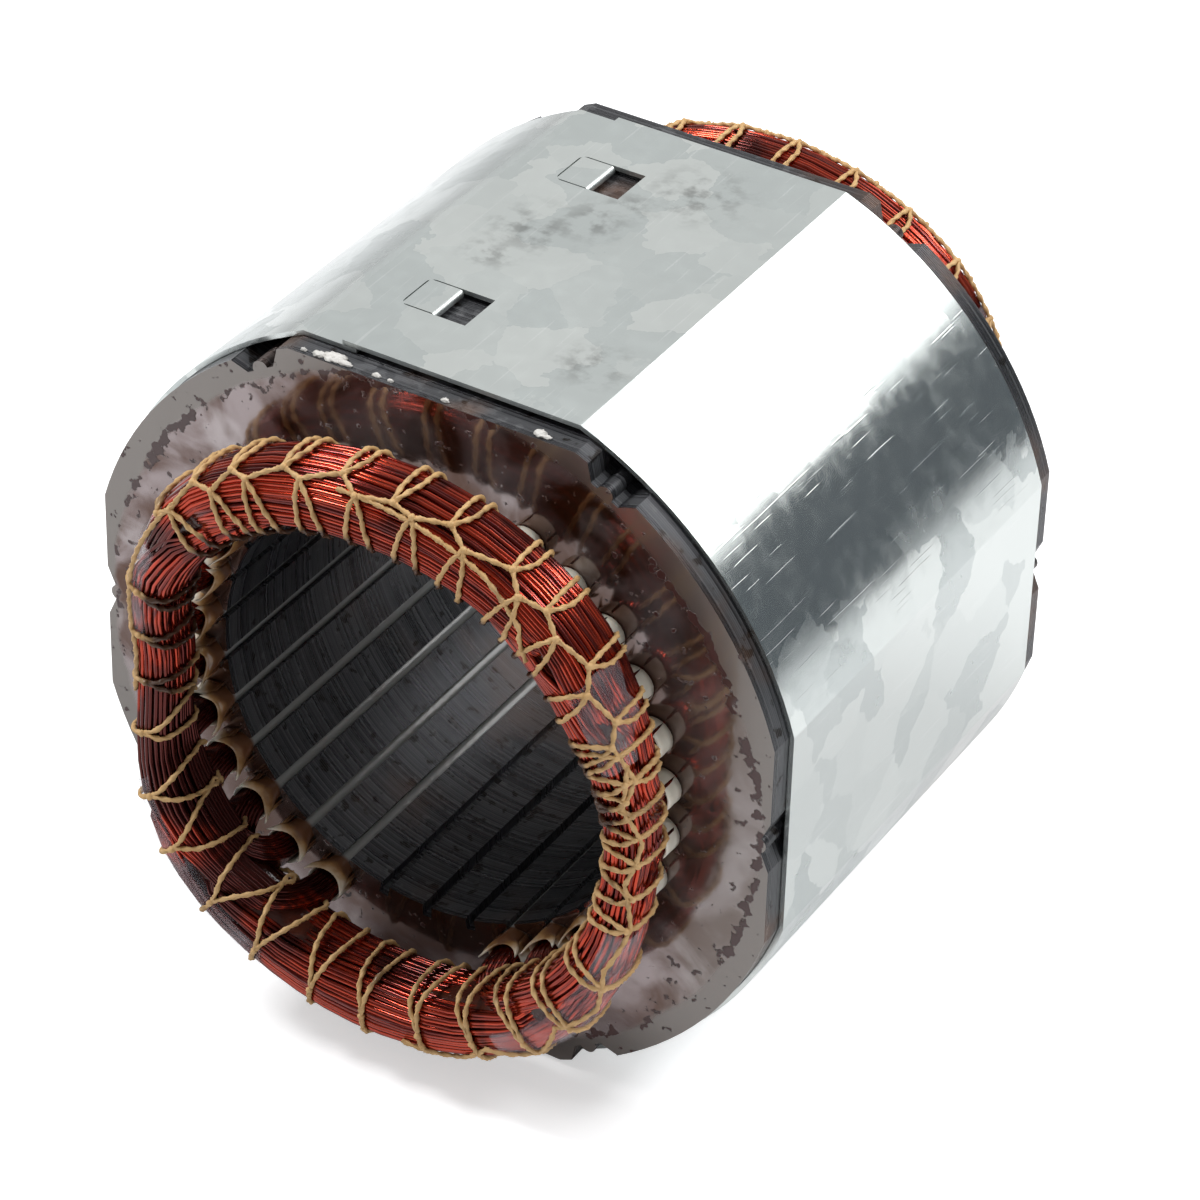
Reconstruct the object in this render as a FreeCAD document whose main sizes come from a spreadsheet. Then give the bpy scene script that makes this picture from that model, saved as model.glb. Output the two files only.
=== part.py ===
import FreeCAD, Part
import math
import os

import Sketcher
from FreeCAD import Placement, Rotation, Vector

# Wound stator of a small two-pole generator, lying with its bore axis along Y.
# The origin is on the bore axis at mid-length, +Z is up and the front end faces -Y.
# Angles are measured in the XZ plane from +X towards +Z. All lengths are millimetres.

SIZES = {
    # lamination stack
    "StackLength": (105.5, "length of the stack along the bore"),
    "OuterRadius": (75.8, "radius of the four outer arcs"),
    "SideFlat": (72.6, "bore axis to the left and right flats"),
    "TopFlat": (69.5, "bore axis to the top and bottom flats"),
    "BoreRadius": (45.5, "radius of the rotor bore"),
    "SlotPitch": (12.0, "angle from one slot to the next, degrees"),
    "SlotsPerSide": (12, "wound slots on each side of the bore"),
    "DummiesPerPole": (3, "shallow notches between the wound slots, at the top and at the bottom"),
    "SlotOpening": (2.0, "width of the slot mouth"),
    "TipThickness": (0.8, "thickness of a tooth tip at the mouth"),
    "ShoulderRadius": (47.3, "bore axis to the widest point under a tooth tip"),
    "ShoulderHalf": (3.1, "half width of a slot at that point"),
    "SlotEndRadius": (3.5, "radius of the round slot bottom"),
    "SlotEndCentre": (50.7, "bore axis to the centre of that round"),
    "DummyDepth": (2.4, "depth of a dummy notch"),
    "WeldNotchHalf": (5.7, "half width of a weld notch in an outer arc"),
    "WeldNotchFloorHalf": (3.2, "half width of its floor"),
    "WeldNotchDepth": (3.2, "depth of a weld notch below the outer arc"),
    "WeldNotchStep": (0.4, "depth at which its sides start to slope"),
    "WeldNotchAngle": (60.0, "direction of the upper right weld notch, degrees"),
    "SideNotchHalf": (5.5, "half width of the vee in a side flat"),
    "SideNotchDepth": (2.4, "depth of that vee"),
    "WeldRadius": (1.7, "radius of a weld bead"),
    # wrap band
    "BandThickness": (0.9, "sheet thickness of the wrap band"),
    "BandLength": (95.0, "length of the wrap band along the bore"),
    "BandGap": (0.1, "gap between the stack and the band, and between lapped sheets"),
    "LapEdge": (22.0, "free edge of the outer end, left of the middle"),
    "HemFold": (12.9, "fold of the hooked tongues, left of the middle"),
    "UnderEnd": (19.0, "end of the inner sheet between its tongues, left of the middle"),
    "WindowLeft": (20.3, "left edge of a window, left of the middle"),
    "WindowRight": (6.3, "right edge of a window, left of the middle"),
    "WindowWidth": (10.2, "width of a window along the bore"),
    "WindowSpacing": (52.8, "distance between the two windows along the bore"),
    "WindowCorner": (1.6, "corner radius of a window and of a folded tongue"),
    "TongueClearance": (0.3, "gap between a folded tongue and its window"),
    # slot insulation
    "LinerThickness": (0.35, "thickness of the slot liner"),
    "LinerClearance": (0.05, "gap between a slot and its liner"),
    "LinerTop": (47.7, "bore axis to the upper edges of the liner"),
    "CuffHeight": (4.5, "how far a liner stands out of the stack"),
    "CollarClearance": (0.1, "gap between a liner's collar and the end face of the stack"),
    "ClosureHalf": (2.6, "half width of the creased slot closure"),
    "ClosureCrownHalf": (1.2, "half width of its flat crown"),
    "ClosureCrown": (46.55, "bore axis to the crown of the closure"),
    "ClosureFoot": (48.0, "bore axis to the feet of the closure"),
    "ClosureTongue": (6.5, "how far a closure stands out of the stack"),
    # windings
    "BundleDiameter": (5.0, "diameter of a coil's end turns"),
    "BarClearance": (0.1, "gap between a coil side and its liner"),
    "BarTop": (48.45, "bore axis to the top of a coil side"),
    "BarReach": (4.0, "how far the straight coil sides stand out of the stack"),
    "LegRadius": (50.9, "bore axis to the middle of a coil side"),
    "RiserHeight": (7.0, "height above the stack where a main coil leans outwards"),
    "InnerLane": (50.4, "bore axis to the auxiliary end turns"),
    "MainLane": (56.5, "bore axis to the end turns of the first three main coils"),
    "OuterLane": (61.6, "bore axis to the end turns of the widest main coil"),
    "FirstTier": (8.5, "height above the stack of the lowest main end turns"),
    "TierStep": (5.5, "step from one tier of end turns to the next"),
    "OuterTier": (12.5, "height above the stack of the widest main coil's end turns"),
    "AuxTier": (14.2, "height above the stack of the lower auxiliary end turns"),
    # separators and lacing
    "FilmThickness": (0.25, "thickness of a phase separator"),
    "FilmRadius": (53.4, "bore axis to the inner face of a phase separator"),
    "FilmBottom": (12.3, "height above the stack of a separator's near edge"),
    "FilmTop": (22.6, "height above the stack of a separator's far edge"),
    "FilmStart": (3.0, "first angle of a separator from the horizontal, degrees"),
    "FilmEnd": (70.0, "last angle of a separator from the horizontal, degrees"),
    "CordDiameter": (1.2, "thickness of the lacing cord"),
    "CordClearance": (0.15, "gap between the lacing and the end turns"),
    "LacingPitch": (12.0, "angle from one lacing loop to the next, degrees"),
}

doc = FreeCAD.newDocument("stator")
sheet = doc.addObject("Spreadsheet::Sheet", "Sizes")
for row, (alias, (number, meaning)) in enumerate(SIZES.items(), start=1):
    sheet.set(f"A{row}", meaning)
    sheet.set(f"B{row}", str(number))
    sheet.setAlias(f"B{row}", alias)
doc.recompute()


class Size:
    """A length that knows its value and the sheet expression that it is bound by."""

    def __init__(self, value, text):
        self.value = float(value)
        self.text = text

    def _join(self, other, sign, value):
        return Size(value, f"({self.text} {sign} {as_size(other).text})")

    def __add__(self, other):
        return self._join(other, "+", self.value + as_size(other).value)

    def __sub__(self, other):
        return self._join(other, "-", self.value - as_size(other).value)

    def __mul__(self, other):
        return self._join(other, "*", self.value * as_size(other).value)

    def __truediv__(self, other):
        return self._join(other, "/", self.value / as_size(other).value)

    def __neg__(self):
        return Size(-self.value, f"(0 - {self.text})")


def as_size(number):
    return number if isinstance(number, Size) else Size(number, repr(float(number)))


def size(alias):
    """A named cell of the sheet."""
    return Size(sheet.get(alias), f"Sizes.{alias}")


def mm(alias):
    """The plain number in a named cell."""
    return float(sheet.get(alias))


def root(value):
    return Size(math.sqrt(value.value), f"sqrt({value.text})")


def chord(radius, offset):
    """Half the chord that a circle leaves on a line at this offset."""
    return root(radius * radius - offset * offset)


# ---------------------------------------------------------------- sketch helpers

def new_body(label):
    body = doc.addObject("PartDesign::Body", label)
    body.Label = label
    return body


def origin_feature(body, role):
    return next(item for item in body.Origin.OriginFeatures if item.Role == role)


def new_sketch(body, name, plane="XZ_Plane", lift=None, turn=None):
    """A sketch on one of the body's origin planes, lifted along its normal and turned in its plane."""
    sketch = body.newObject("Sketcher::SketchObject", name)
    sketch.AttachmentSupport = [(origin_feature(body, plane), "")]
    sketch.MapMode = "FlatFace"
    lift = as_size(lift or 0)
    turn = as_size(turn or 0)
    sketch.AttachmentOffset = Placement(Vector(0, 0, lift.value), Rotation(Vector(0, 0, 1), turn.value))
    if lift.value:
        sketch.setExpression("AttachmentOffset.Base.z", lift.text)
    if turn.value:
        sketch.setExpression("AttachmentOffset.Rotation.Angle", turn.text)
    return sketch


def bind(sketch, constraint, value):
    """Add a dimension and bind it to its sheet expression."""
    index = sketch.addConstraint(constraint)
    sketch.setExpression(f"Constraints[{index}]", value.text)


def pin(sketch, geometry, point, x, y):
    """Fix a sketch point by its two coordinates from the sketch origin."""
    bind(sketch, Sketcher.Constraint("DistanceX", -1, 1, geometry, point, x.value), x)
    bind(sketch, Sketcher.Constraint("DistanceY", -1, 1, geometry, point, y.value), y)


def add_circle(sketch, radius, x=0, y=0):
    x, y = as_size(x), as_size(y)
    index = sketch.addGeometry(Part.Circle(Vector(x.value, y.value, 0), Vector(0, 0, 1), radius.value))
    pin(sketch, index, 3, x, y)
    bind(sketch, Sketcher.Constraint("Radius", index, radius.value), radius)


def add_outline(sketch, corners, arcs=None):
    """Close an outline through these corners.

    corners is a list of (x, y). arcs maps the index of an edge's first corner to the arc's centre and
    the sense in which the arc runs, 1 for anticlockwise and -1 for clockwise.
    """
    arcs = arcs or {}
    points = [(as_size(x), as_size(y)) for x, y in corners]
    count = len(points)
    edges = []
    for index, (start, end) in enumerate(zip(points, points[1:] + points[:1])):
        first = Vector(start[0].value, start[1].value, 0)
        last = Vector(end[0].value, end[1].value, 0)
        if index not in arcs:
            edges.append((sketch.addGeometry(Part.LineSegment(first, last)), 1, 2))
            continue
        centre_x, centre_y, sense = arcs[index]
        centre = Vector(as_size(centre_x).value, as_size(centre_y).value, 0)
        radius = (first - centre).Length
        swap = sense < 0
        begin, finish = (last, first) if swap else (first, last)
        angles = [math.atan2((p - centre).y, (p - centre).x) for p in (begin, finish)]
        if angles[1] <= angles[0]:
            angles[1] += 2 * math.pi
        circle = Part.Circle(centre, Vector(0, 0, 1), radius)
        geometry = sketch.addGeometry(Part.ArcOfCircle(circle, *angles))
        edges.append((geometry, 2, 1) if swap else (geometry, 1, 2))
    for index, (geometry, head, _) in enumerate(edges):
        before, _, tail = edges[index - 1]
        sketch.addConstraint(Sketcher.Constraint("Coincident", before, tail, geometry, head))
        pin(sketch, geometry, head, *points[index])
    for index, (centre_x, centre_y, _) in arcs.items():
        geometry = edges[index][0]
        across = abs(points[index][0].value - points[(index + 1) % count][0].value)
        upright = abs(points[index][1].value - points[(index + 1) % count][1].value)
        centre_x, centre_y = as_size(centre_x), as_size(centre_y)
        if upright >= across:
            bind(sketch, Sketcher.Constraint("DistanceX", -1, 1, geometry, 3, centre_x.value), centre_x)
        else:
            bind(sketch, Sketcher.Constraint("DistanceY", -1, 1, geometry, 3, centre_y.value), centre_y)


def add_pad(body, name, sketch, length, symmetric=True):
    pad = body.newObject("PartDesign::Pad", name)
    pad.Profile = sketch
    pad.Length = length.value
    pad.setExpression("Length", length.text)
    pad.SideType = "Symmetric" if symmetric else "One side"
    return pad


def add_pocket(body, name, sketch, length, symmetric=True, backwards=False):
    """Cut a pocket, and stop if it takes nothing away."""
    doc.recompute()
    before = body.Shape.Volume
    pocket = body.newObject("PartDesign::Pocket", name)
    pocket.Profile = sketch
    pocket.Length = length.value
    pocket.setExpression("Length", length.text)
    pocket.SideType = "Symmetric" if symmetric else "One side"
    pocket.Reversed = backwards
    doc.recompute()
    if not body.Shape.Volume < before:
        raise RuntimeError(f"{body.Label}: {name} cuts nothing")
    return pocket


def add_ring_pattern(body, name, feature, count, span):
    """Repeat a feature about the bore axis, over a span of degrees."""
    pattern = body.newObject("PartDesign::PolarPattern", name)
    pattern.Originals = [feature]
    pattern.Axis = (origin_feature(body, "Y_Axis"), [""])
    pattern.Mode = "Extent"
    pattern.Angle = span.value
    pattern.setExpression("Angle", span.text)
    pattern.Occurrences = int(count.value)
    pattern.setExpression("Occurrences", count.text)
    pattern.Reversed = True
    body.Tip = pattern
    doc.recompute()
    return pattern


# ---------------------------------------------------------------- lamination stack

def slot_corners():
    """One wound slot along +X: mouth, tip slopes, sides and round bottom."""
    mouth = size("SlotOpening") / 2
    tip = size("BoreRadius") + size("TipThickness")
    inside = size("BoreRadius") - 2
    shoulder, half = size("ShoulderRadius"), size("ShoulderHalf")
    centre, end = size("SlotEndCentre"), size("SlotEndRadius")
    corners = [(inside, -mouth), (tip, -mouth), (shoulder, -half), (centre, -end),
               (centre, end), (shoulder, half), (tip, mouth), (inside, mouth)]
    return corners, {3: (centre, 0, 1)}


def rim_notch_corners(rim):
    """A weld notch in an outer arc, along +X: steep sides and a flat floor."""
    half, floor_half = size("WeldNotchHalf"), size("WeldNotchFloorHalf")
    floor, shoulder, beyond = rim - size("WeldNotchDepth"), rim - size("WeldNotchStep"), rim + 2
    return [(beyond, -half), (beyond, half), (shoulder, half), (floor, floor_half),
            (floor, -floor_half), (shoulder, -half)], floor


def side_notch_corners(rim):
    """A vee in a side flat, along +X."""
    half, beyond = size("SideNotchHalf"), rim + 2
    floor = rim - size("SideNotchDepth")
    return [(beyond, -half), (beyond, half), (rim, half), (floor, 0), (rim, -half)], floor


def build_stack():
    body = new_body("lamination_stack")
    length = size("StackLength")
    through = length + 2
    outer = size("OuterRadius")

    disc = new_sketch(body, "disc_outline")
    add_circle(disc, outer)
    add_circle(disc, size("BoreRadius"))
    add_pad(body, "disc", disc, length)

    flats = new_sketch(body, "flats_outline")
    side, top, beyond = size("SideFlat"), size("TopFlat"), outer + 5
    add_outline(flats, [(-side, -top), (side, -top), (side, top), (-side, top)])
    add_outline(flats, [(-beyond, -beyond), (beyond, -beyond), (beyond, beyond), (-beyond, beyond)])
    add_pocket(body, "flats", flats, through)

    pitch = size("SlotPitch")
    slots = size("SlotsPerSide")
    slot_span = pitch * (slots - 1)
    dummies = size("DummiesPerPole")
    dummy_span = pitch * (dummies - 1)
    for side_name, middle in (("right", 0), ("left", 180)):
        sketch = new_sketch(body, f"{side_name}_slot_outline", turn=as_size(middle) - slot_span / 2)
        add_outline(sketch, *slot_corners())
        pocket = add_pocket(body, f"{side_name}_slot", sketch, through)
        add_ring_pattern(body, f"{side_name}_slots", pocket, slots, slot_span)
    mouth = size("SlotOpening") / 2
    for pole_name, middle in (("top", 90), ("bottom", 270)):
        sketch = new_sketch(body, f"{pole_name}_dummy_outline", turn=as_size(middle) - dummy_span / 2)
        floor = size("BoreRadius") + size("DummyDepth")
        inside = size("BoreRadius") - 2
        add_outline(sketch, [(inside, -mouth), (floor, -mouth), (floor, mouth), (inside, mouth)])
        pocket = add_pocket(body, f"{pole_name}_dummy", sketch, through)
        add_ring_pattern(body, f"{pole_name}_dummies", pocket, dummies, dummy_span)

    tilt = size("WeldNotchAngle")
    notches = {"upper_right": (tilt, rim_notch_corners(outer)),
               "upper_left": (as_size(180) - tilt, rim_notch_corners(outer)),
               "lower_left": (as_size(180) + tilt, rim_notch_corners(outer)),
               "lower_right": (as_size(360) - tilt, rim_notch_corners(outer)),
               "right": (as_size(0), side_notch_corners(side)),
               "left": (as_size(180), side_notch_corners(side))}
    for name, (angle, (corners, _)) in notches.items():
        sketch = new_sketch(body, f"{name}_notch_outline", turn=angle)
        add_outline(sketch, corners)
        add_pocket(body, f"{name}_notch", sketch, through)
    for name, (angle, (_, floor)) in notches.items():
        sketch = new_sketch(body, f"{name}_bead_outline", turn=angle)
        add_circle(sketch, size("WeldRadius"), floor)
        body.Tip = add_pad(body, f"{name}_bead", sketch, length)
    return body


# ---------------------------------------------------------------- wrap band

def build_band():
    """One strip bent round the stack, hooked to itself on the top flat."""
    body = new_body("wrap_band")
    thickness, gap = size("BandThickness"), size("BandGap")
    inner, outer = size("OuterRadius") + gap, size("OuterRadius") + gap + thickness
    side_in, side_out = size("SideFlat") + gap, size("SideFlat") + gap + thickness
    top_in, top_out = size("TopFlat") + gap, size("TopFlat") + gap + thickness
    lap_in, lap_out = top_out + gap, top_out + gap + thickness
    under_end, lap_edge = -size("UnderEnd"), -size("LapEdge")
    length = size("BandLength")

    sketch = new_sketch(body, "strip_outline")
    corners = [
        (under_end, top_in), (-chord(inner, top_in), top_in), (-side_in, chord(inner, side_in)),
        (-side_in, -chord(inner, side_in)), (-chord(inner, top_in), -top_in), (chord(inner, top_in), -top_in),
        (side_in, -chord(inner, side_in)), (side_in, chord(inner, side_in)), (chord(inner, lap_in), lap_in),
        (lap_edge, lap_in), (lap_edge, lap_out), (chord(outer, lap_out), lap_out),
        (side_out, chord(outer, side_out)), (side_out, -chord(outer, side_out)),
        (chord(outer, top_out), -top_out), (-chord(outer, top_out), -top_out),
        (-side_out, -chord(outer, side_out)), (-side_out, chord(outer, side_out)),
        (-chord(outer, top_out), top_out), (under_end, top_out),
    ]
    inside_arcs = {index: (0, 0, 1) for index in (1, 3, 5, 7)}
    outside_arcs = {index: (0, 0, -1) for index in (11, 13, 15, 17)}
    add_outline(sketch, corners, {**inside_arcs, **outside_arcs})
    add_pad(body, "strip", sketch, length)

    # a tongue runs under the outer end, turns over at its fold and comes back into the window
    tongue = new_sketch(body, "tongue_outline", lift=size("WindowSpacing") / 2)
    fold = -size("HemFold") - thickness
    tip = -size("WindowLeft") + size("TongueClearance")
    middle = top_out + gap / 2
    add_outline(tongue, [
        (under_end - 1, top_in), (fold, top_in), (fold, lap_out), (tip, lap_out),
        (tip, lap_in), (fold, lap_in), (fold, top_out), (under_end - 1, top_out),
    ], {1: (fold, middle, 1), 5: (fold, middle, -1)})
    width = size("WindowWidth") - size("TongueClearance") * 2

    window = new_sketch(body, "window_outline", "XY_Plane", lift=top_out + gap / 2)
    half, place = size("WindowWidth") / 2, size("WindowSpacing") / 2
    left, right, corner = -size("WindowLeft"), -size("WindowRight"), size("WindowCorner")
    add_outline(window, [
        (left + corner, place - half), (right, place - half), (right, place + half),
        (left + corner, place + half), (left, place + half - corner), (left, place - half + corner),
    ], {3: (left + corner, place + half - corner, 1), 5: (left + corner, place - half + corner, 1)})
    cut = add_pocket(body, "window", window, thickness + gap, symmetric=False, backwards=True)
    mirror_pair(body, "windows", cut)
    first = add_pad(body, "tongue", tongue, width)
    mirror_pair(body, "tongues", first)
    return body


def mirror_pair(body, name, feature):
    """Copy a feature to the other end of the bore."""
    mirror = body.newObject("PartDesign::Mirrored", name)
    mirror.Originals = [feature]
    mirror.MirrorPlane = (origin_feature(body, "XZ_Plane"), [""])
    body.Tip = mirror
    doc.recompute()
    return mirror


# ---------------------------------------------------------------- slot insulation

def u_corners(clearance, thickness, top):
    """A U of this wall thickness, set in from the slot by a clearance, open towards the bore."""
    centre = size("SlotEndCentre")
    shoulder = size("ShoulderHalf") - clearance
    end = size("SlotEndRadius") - clearance
    slope = (top - size("ShoulderRadius")) / (centre - size("ShoulderRadius"))
    rim = shoulder + (end - shoulder) * slope
    corners = [
        (top, -rim), (centre, -end), (centre, end), (top, rim),
        (top, rim - thickness), (centre, end - thickness), (centre, thickness - end), (top, thickness - rim),
    ]
    return corners, {1: (centre, 0, 1), 5: (centre, 0, -1)}


def collar_corners(thickness):
    """Outline of a folded collar: six flats round the outside of the liner, sunk into its wall."""
    clearance, top, centre = size("LinerClearance"), size("LinerTop"), size("SlotEndCentre")
    end = size("SlotEndRadius") - clearance
    rim = size("ShoulderHalf") - clearance
    sides = []
    for radius, leg in ((end + thickness, rim + thickness), (end - thickness * 0.9, rim - thickness * 0.5)):
        side = [(top, leg)]
        for turn in (67.5, 22.5):
            reach = radius / math.cos(math.radians(22.5))
            side.append((centre + reach * math.cos(math.radians(turn)), reach * math.sin(math.radians(turn))))
        sides.append(side)
    outside, inside = sides
    lower = [(along, -across) for along, across in outside]
    return lower + outside[::-1] + inside + [(along, -across) for along, across in reversed(inside)]


def build_liner(label, angle):
    body = new_body(label)
    thickness, clearance = size("LinerThickness"), size("LinerClearance")
    top, cuff = size("LinerTop"), size("CuffHeight")
    half_length = size("StackLength") / 2
    section = new_sketch(body, "liner_outline")
    add_outline(section, *u_corners(clearance, thickness, top))
    add_pad(body, "liner", section, size("StackLength") + cuff * 2)
    collar = new_sketch(body, "collar_outline", lift=half_length + size("CollarClearance"))
    add_outline(collar, collar_corners(thickness))
    folded = add_pad(body, "collar", collar, cuff - size("CollarClearance"), symmetric=False)
    mirror_pair(body, "collars", folded)
    body.Placement = turned(angle)
    return body


def turned(angle):
    """Turn about the bore axis from +X towards +Z."""
    return Placement(Vector(0, 0, 0), Rotation(Vector(0, -1, 0), angle))


def slot_angles():
    """Directions of the wound slots, anticlockwise from the first one above the horizontal."""
    pitch = mm("SlotPitch")
    half_count = int(mm("SlotsPerSide")) // 2
    first = [pitch * (index + 0.5) for index in range(half_count)]
    right = [-angle for angle in reversed(first)] + first
    left = [180 + angle for angle in right]
    return sorted(angle % 360 for angle in right + left)


def closure_shape():
    """A creased strip along +X, crown towards the bore, with a notch in each end that leaves two points."""
    half, crown_half = mm("ClosureHalf"), mm("ClosureCrownHalf")
    crown, foot = mm("ClosureCrown"), mm("ClosureFoot")
    thickness, tongue = mm("LinerThickness"), mm("ClosureTongue")
    reach = mm("StackLength") / 2 + tongue
    outside = [(foot, -half), (crown, -crown_half), (crown, crown_half), (foot, half)]
    inside = [(foot, half - thickness), (crown + thickness, crown_half - thickness / 2),
              (crown + thickness, thickness / 2 - crown_half), (foot, thickness - half)]
    corners = [Vector(along, -reach, across) for along, across in outside + inside]
    face = Part.Face(Part.makePolygon(corners + corners[:1]))
    strip = face.extrude(Vector(0, 2 * reach, 0))
    for end in (-1, 1):
        notch_root = Vector(0, end * (reach - tongue / 3), 0)
        points = [Vector(0, end * reach, side * half) for side in (-1, 1)]
        notch = Part.Face(Part.makePolygon([points[0], notch_root, points[1], points[0]]))
        strip = strip.cut(notch.extrude(Vector(foot * 2, 0, 0)))
    return strip


def build_closures():
    closures = doc.addObject("Part::Feature", "slot_closures")
    closures.Label = "slot_closures"
    strip = closure_shape()
    copies = []
    for angle in slot_angles():
        copy = strip.copy()
        copy.Placement = turned(angle)
        copies.append(copy)
    closures.Shape = Part.makeCompound(copies)
    return closures


# ---------------------------------------------------------------- windings

def polar(angle, radius, height, end):
    """A point by its direction, its distance from the bore axis and its height above an end face."""
    turn = math.radians(angle)
    along = end * (mm("StackLength") / 2 + height)
    return Vector(radius * math.cos(turn), along, radius * math.sin(turn))


def knuckle(lane):
    """Radius of the bends of a lane that runs straight from one lacing loop to the next."""
    return lane / math.cos(math.radians(mm("LacingPitch") / 2))


def tube(points, radius, sides):
    """A straight-sided tube through these points, mitred where it bends."""
    headings = [(after - before).normalize() for before, after in zip(points, points[1:])]
    headings.append(headings[-1])
    across = headings[0].cross(Vector(*points[0])).normalize()
    upright = headings[0].cross(across)
    ring = []
    for index in range(sides):
        turn = 2 * math.pi * (index + 0.5) / sides
        ring.append(points[0] + across * (radius * math.cos(turn)) + upright * (radius * math.sin(turn)))
    rings = [ring]
    for point, arriving, leaving in zip(points[1:], headings, headings[1:]):
        mitre = arriving + leaving
        slides = [(point - corner).dot(mitre) / arriving.dot(mitre) for corner in rings[-1]]
        rings.append([corner + arriving * slide for corner, slide in zip(rings[-1], slides)])
    faces = [Part.Face(Part.makePolygon(end + end[:1])) for end in (rings[0], rings[-1])]
    for near, far in zip(rings, rings[1:]):
        for index in range(sides):
            before = index - 1
            faces.append(Part.Face(Part.makePolygon(
                [near[before], near[index], far[index], far[before], near[before]])))
    solid = Part.makeSolid(Part.makeShell(faces))
    if solid.Volume < 0:
        solid.reverse()
    return solid


def coil_side(angle):
    """The straight bar of wires that fills one slot."""
    set_in = mm("LinerClearance") + mm("LinerThickness") + mm("BarClearance")
    centre, top = mm("SlotEndCentre"), mm("BarTop")
    end = mm("SlotEndRadius") - set_in
    shoulder = mm("ShoulderHalf") - set_in
    rise = (top - mm("ShoulderRadius")) / (centre - mm("ShoulderRadius"))
    rim = shoulder + (end - shoulder) * rise
    reach = mm("StackLength") / 2 + mm("BarReach")
    corners = [Vector(centre, -reach, -end), Vector(top, -reach, -rim), Vector(top, -reach, rim),
               Vector(centre, -reach, end)]
    lines = [Part.makeLine(first, last) for first, last in zip(corners, corners[1:])]
    bottom = Part.Arc(corners[-1], Vector(centre + end, -reach, 0), corners[0]).toShape()
    bar = Part.Face(Part.Wire(lines + [bottom])).extrude(Vector(0, 2 * reach, 0))
    bar.Placement = turned(angle)
    return bar


def build_coil(label, middle, half_span, rise, stations):
    """A closed coil: two slot bars joined by a run of end turns at each end of the stack.

    The end turns leave both slots, which lie half_span either side of the coil's middle, climb
    straight to rise and then pass the stations. A station is an (angle, radius, height) at a lacing
    loop, listed from one slot to the middle.
    """
    leg = mm("LegRadius")
    climb = [(half_span, leg, mm("BarReach") / 2), (half_span, leg, rise)] + stations
    back = [(-angle, radius, height) for angle, radius, height in reversed(climb) if angle > 0]
    solids = [coil_side(half_span), coil_side(-half_span)]
    for end in (-1, 1):
        points = [polar(*station, end) for station in climb + back]
        solids.append(tube(points, mm("BundleDiameter") / 2, 6))
    coil = doc.addObject("Part::Feature", label)
    coil.Label = label
    coil.Shape = solids[0].multiFuse(solids[1:]).Solids[0]
    coil.Placement = turned(middle)
    return coil


def main_coils():
    """Four concentric coils on the upper pole and four on the lower pole, numbered from the smallest."""
    pitch, loop = mm("SlotPitch"), mm("LacingPitch")
    inner_slots = mm("DummiesPerPole") / 2
    first, step = mm("FirstTier"), mm("TierStep")
    coils = []
    for number in range(1, 5):
        half_span = pitch * (inner_slots + 1.5 + number)
        lane = mm("MainLane") if number < 4 else mm("OuterLane")
        height = first + step * (number - 1) if number < 4 else mm("OuterTier")
        stations = [(half_span - pitch / 2, knuckle(mm("MainLane")), first)]
        while stations[-1][0] > loop:
            climbed = first + 1.25 * step * len(stations)
            stations.append((stations[-1][0] - loop, knuckle(lane), min(height, climbed)))
        for pole, middle in (("top", 90), ("bottom", 270)):
            label = f"main_coil_{pole}_{number}"
            coils.append(build_coil(label, middle, half_span, mm("RiserHeight"), stations))
    return coils


def auxiliary_coils():
    """Two concentric coils on each side, in front of the main coils' risers."""
    pitch, loop = mm("SlotPitch"), mm("LacingPitch")
    coils = []
    for number in (1, 2):
        half_span = pitch * (3.5 + number)
        height = mm("AuxTier") + mm("TierStep") * (number - 1)
        count = int(half_span // loop) + 1
        stations = [(loop * index, knuckle(mm("InnerLane")), height) for index in reversed(range(count))]
        rise = height - mm("BundleDiameter") * 0.6
        for side, middle in (("right", 0), ("left", 180)):
            coils.append(build_coil(f"auxiliary_coil_{side}_{number}", middle, half_span, rise, stations))
    return coils


# ---------------------------------------------------------------- separators and lacing

def build_separators():
    """Film between the main and the auxiliary end turns, in each quarter of each end."""
    loop, start, last = mm("LacingPitch"), mm("FilmStart"), mm("FilmEnd")
    bottom, top = mm("FilmBottom"), mm("FilmTop")
    bends = [loop * index for index in range(1, math.ceil(last / loop))]
    inner = knuckle(mm("FilmRadius"))
    outer = inner + mm("FilmThickness")
    quarters = {"upper_right": (0, 1), "upper_left": (180, -1),
                "lower_left": (180, 1), "lower_right": (0, -1)}
    films = []
    for end_name, end in (("front", -1), ("rear", 1)):
        for quarter, (turn, sense) in quarters.items():
            angles = [sense * angle for angle in [start] + bends + [last]]
            rim = [polar(angle, inner, bottom, end) for angle in angles]
            rim += [polar(angle, outer, bottom, end) for angle in reversed(angles)]
            cut = Part.Face(Part.makePolygon(rim + rim[:1]))
            film = doc.addObject("Part::Feature", f"separator_{end_name}_{quarter}")
            film.Label = f"separator_{end_name}_{quarter}"
            film.Shape = cut.extrude(Vector(0, end * (top - bottom), 0))
            film.Placement = turned(turn)
            films.append(film)
    return films


def bundle_limits(angle):
    """Innermost and outermost radius, lowest and highest height of the end turns at a lacing loop."""
    pitch, wire = mm("SlotPitch"), mm("BundleDiameter") / 2
    from_side = abs((angle + 90) % 180 - 90)
    inner = knuckle(mm("InnerLane")) - wire
    outer = knuckle(mm("OuterLane")) + wire
    lowest = mm("FirstTier") - wire
    highest = mm("FilmTop")
    if from_side > mm("FilmEnd"):
        inner = knuckle(mm("MainLane")) - wire
    if from_side < pitch / 2:
        outer = knuckle(mm("FilmRadius"))
        lowest = mm("AuxTier") - wire
    elif from_side < pitch * 1.5:
        outer = knuckle(mm("MainLane")) + wire
    return inner, outer, lowest, highest


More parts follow.
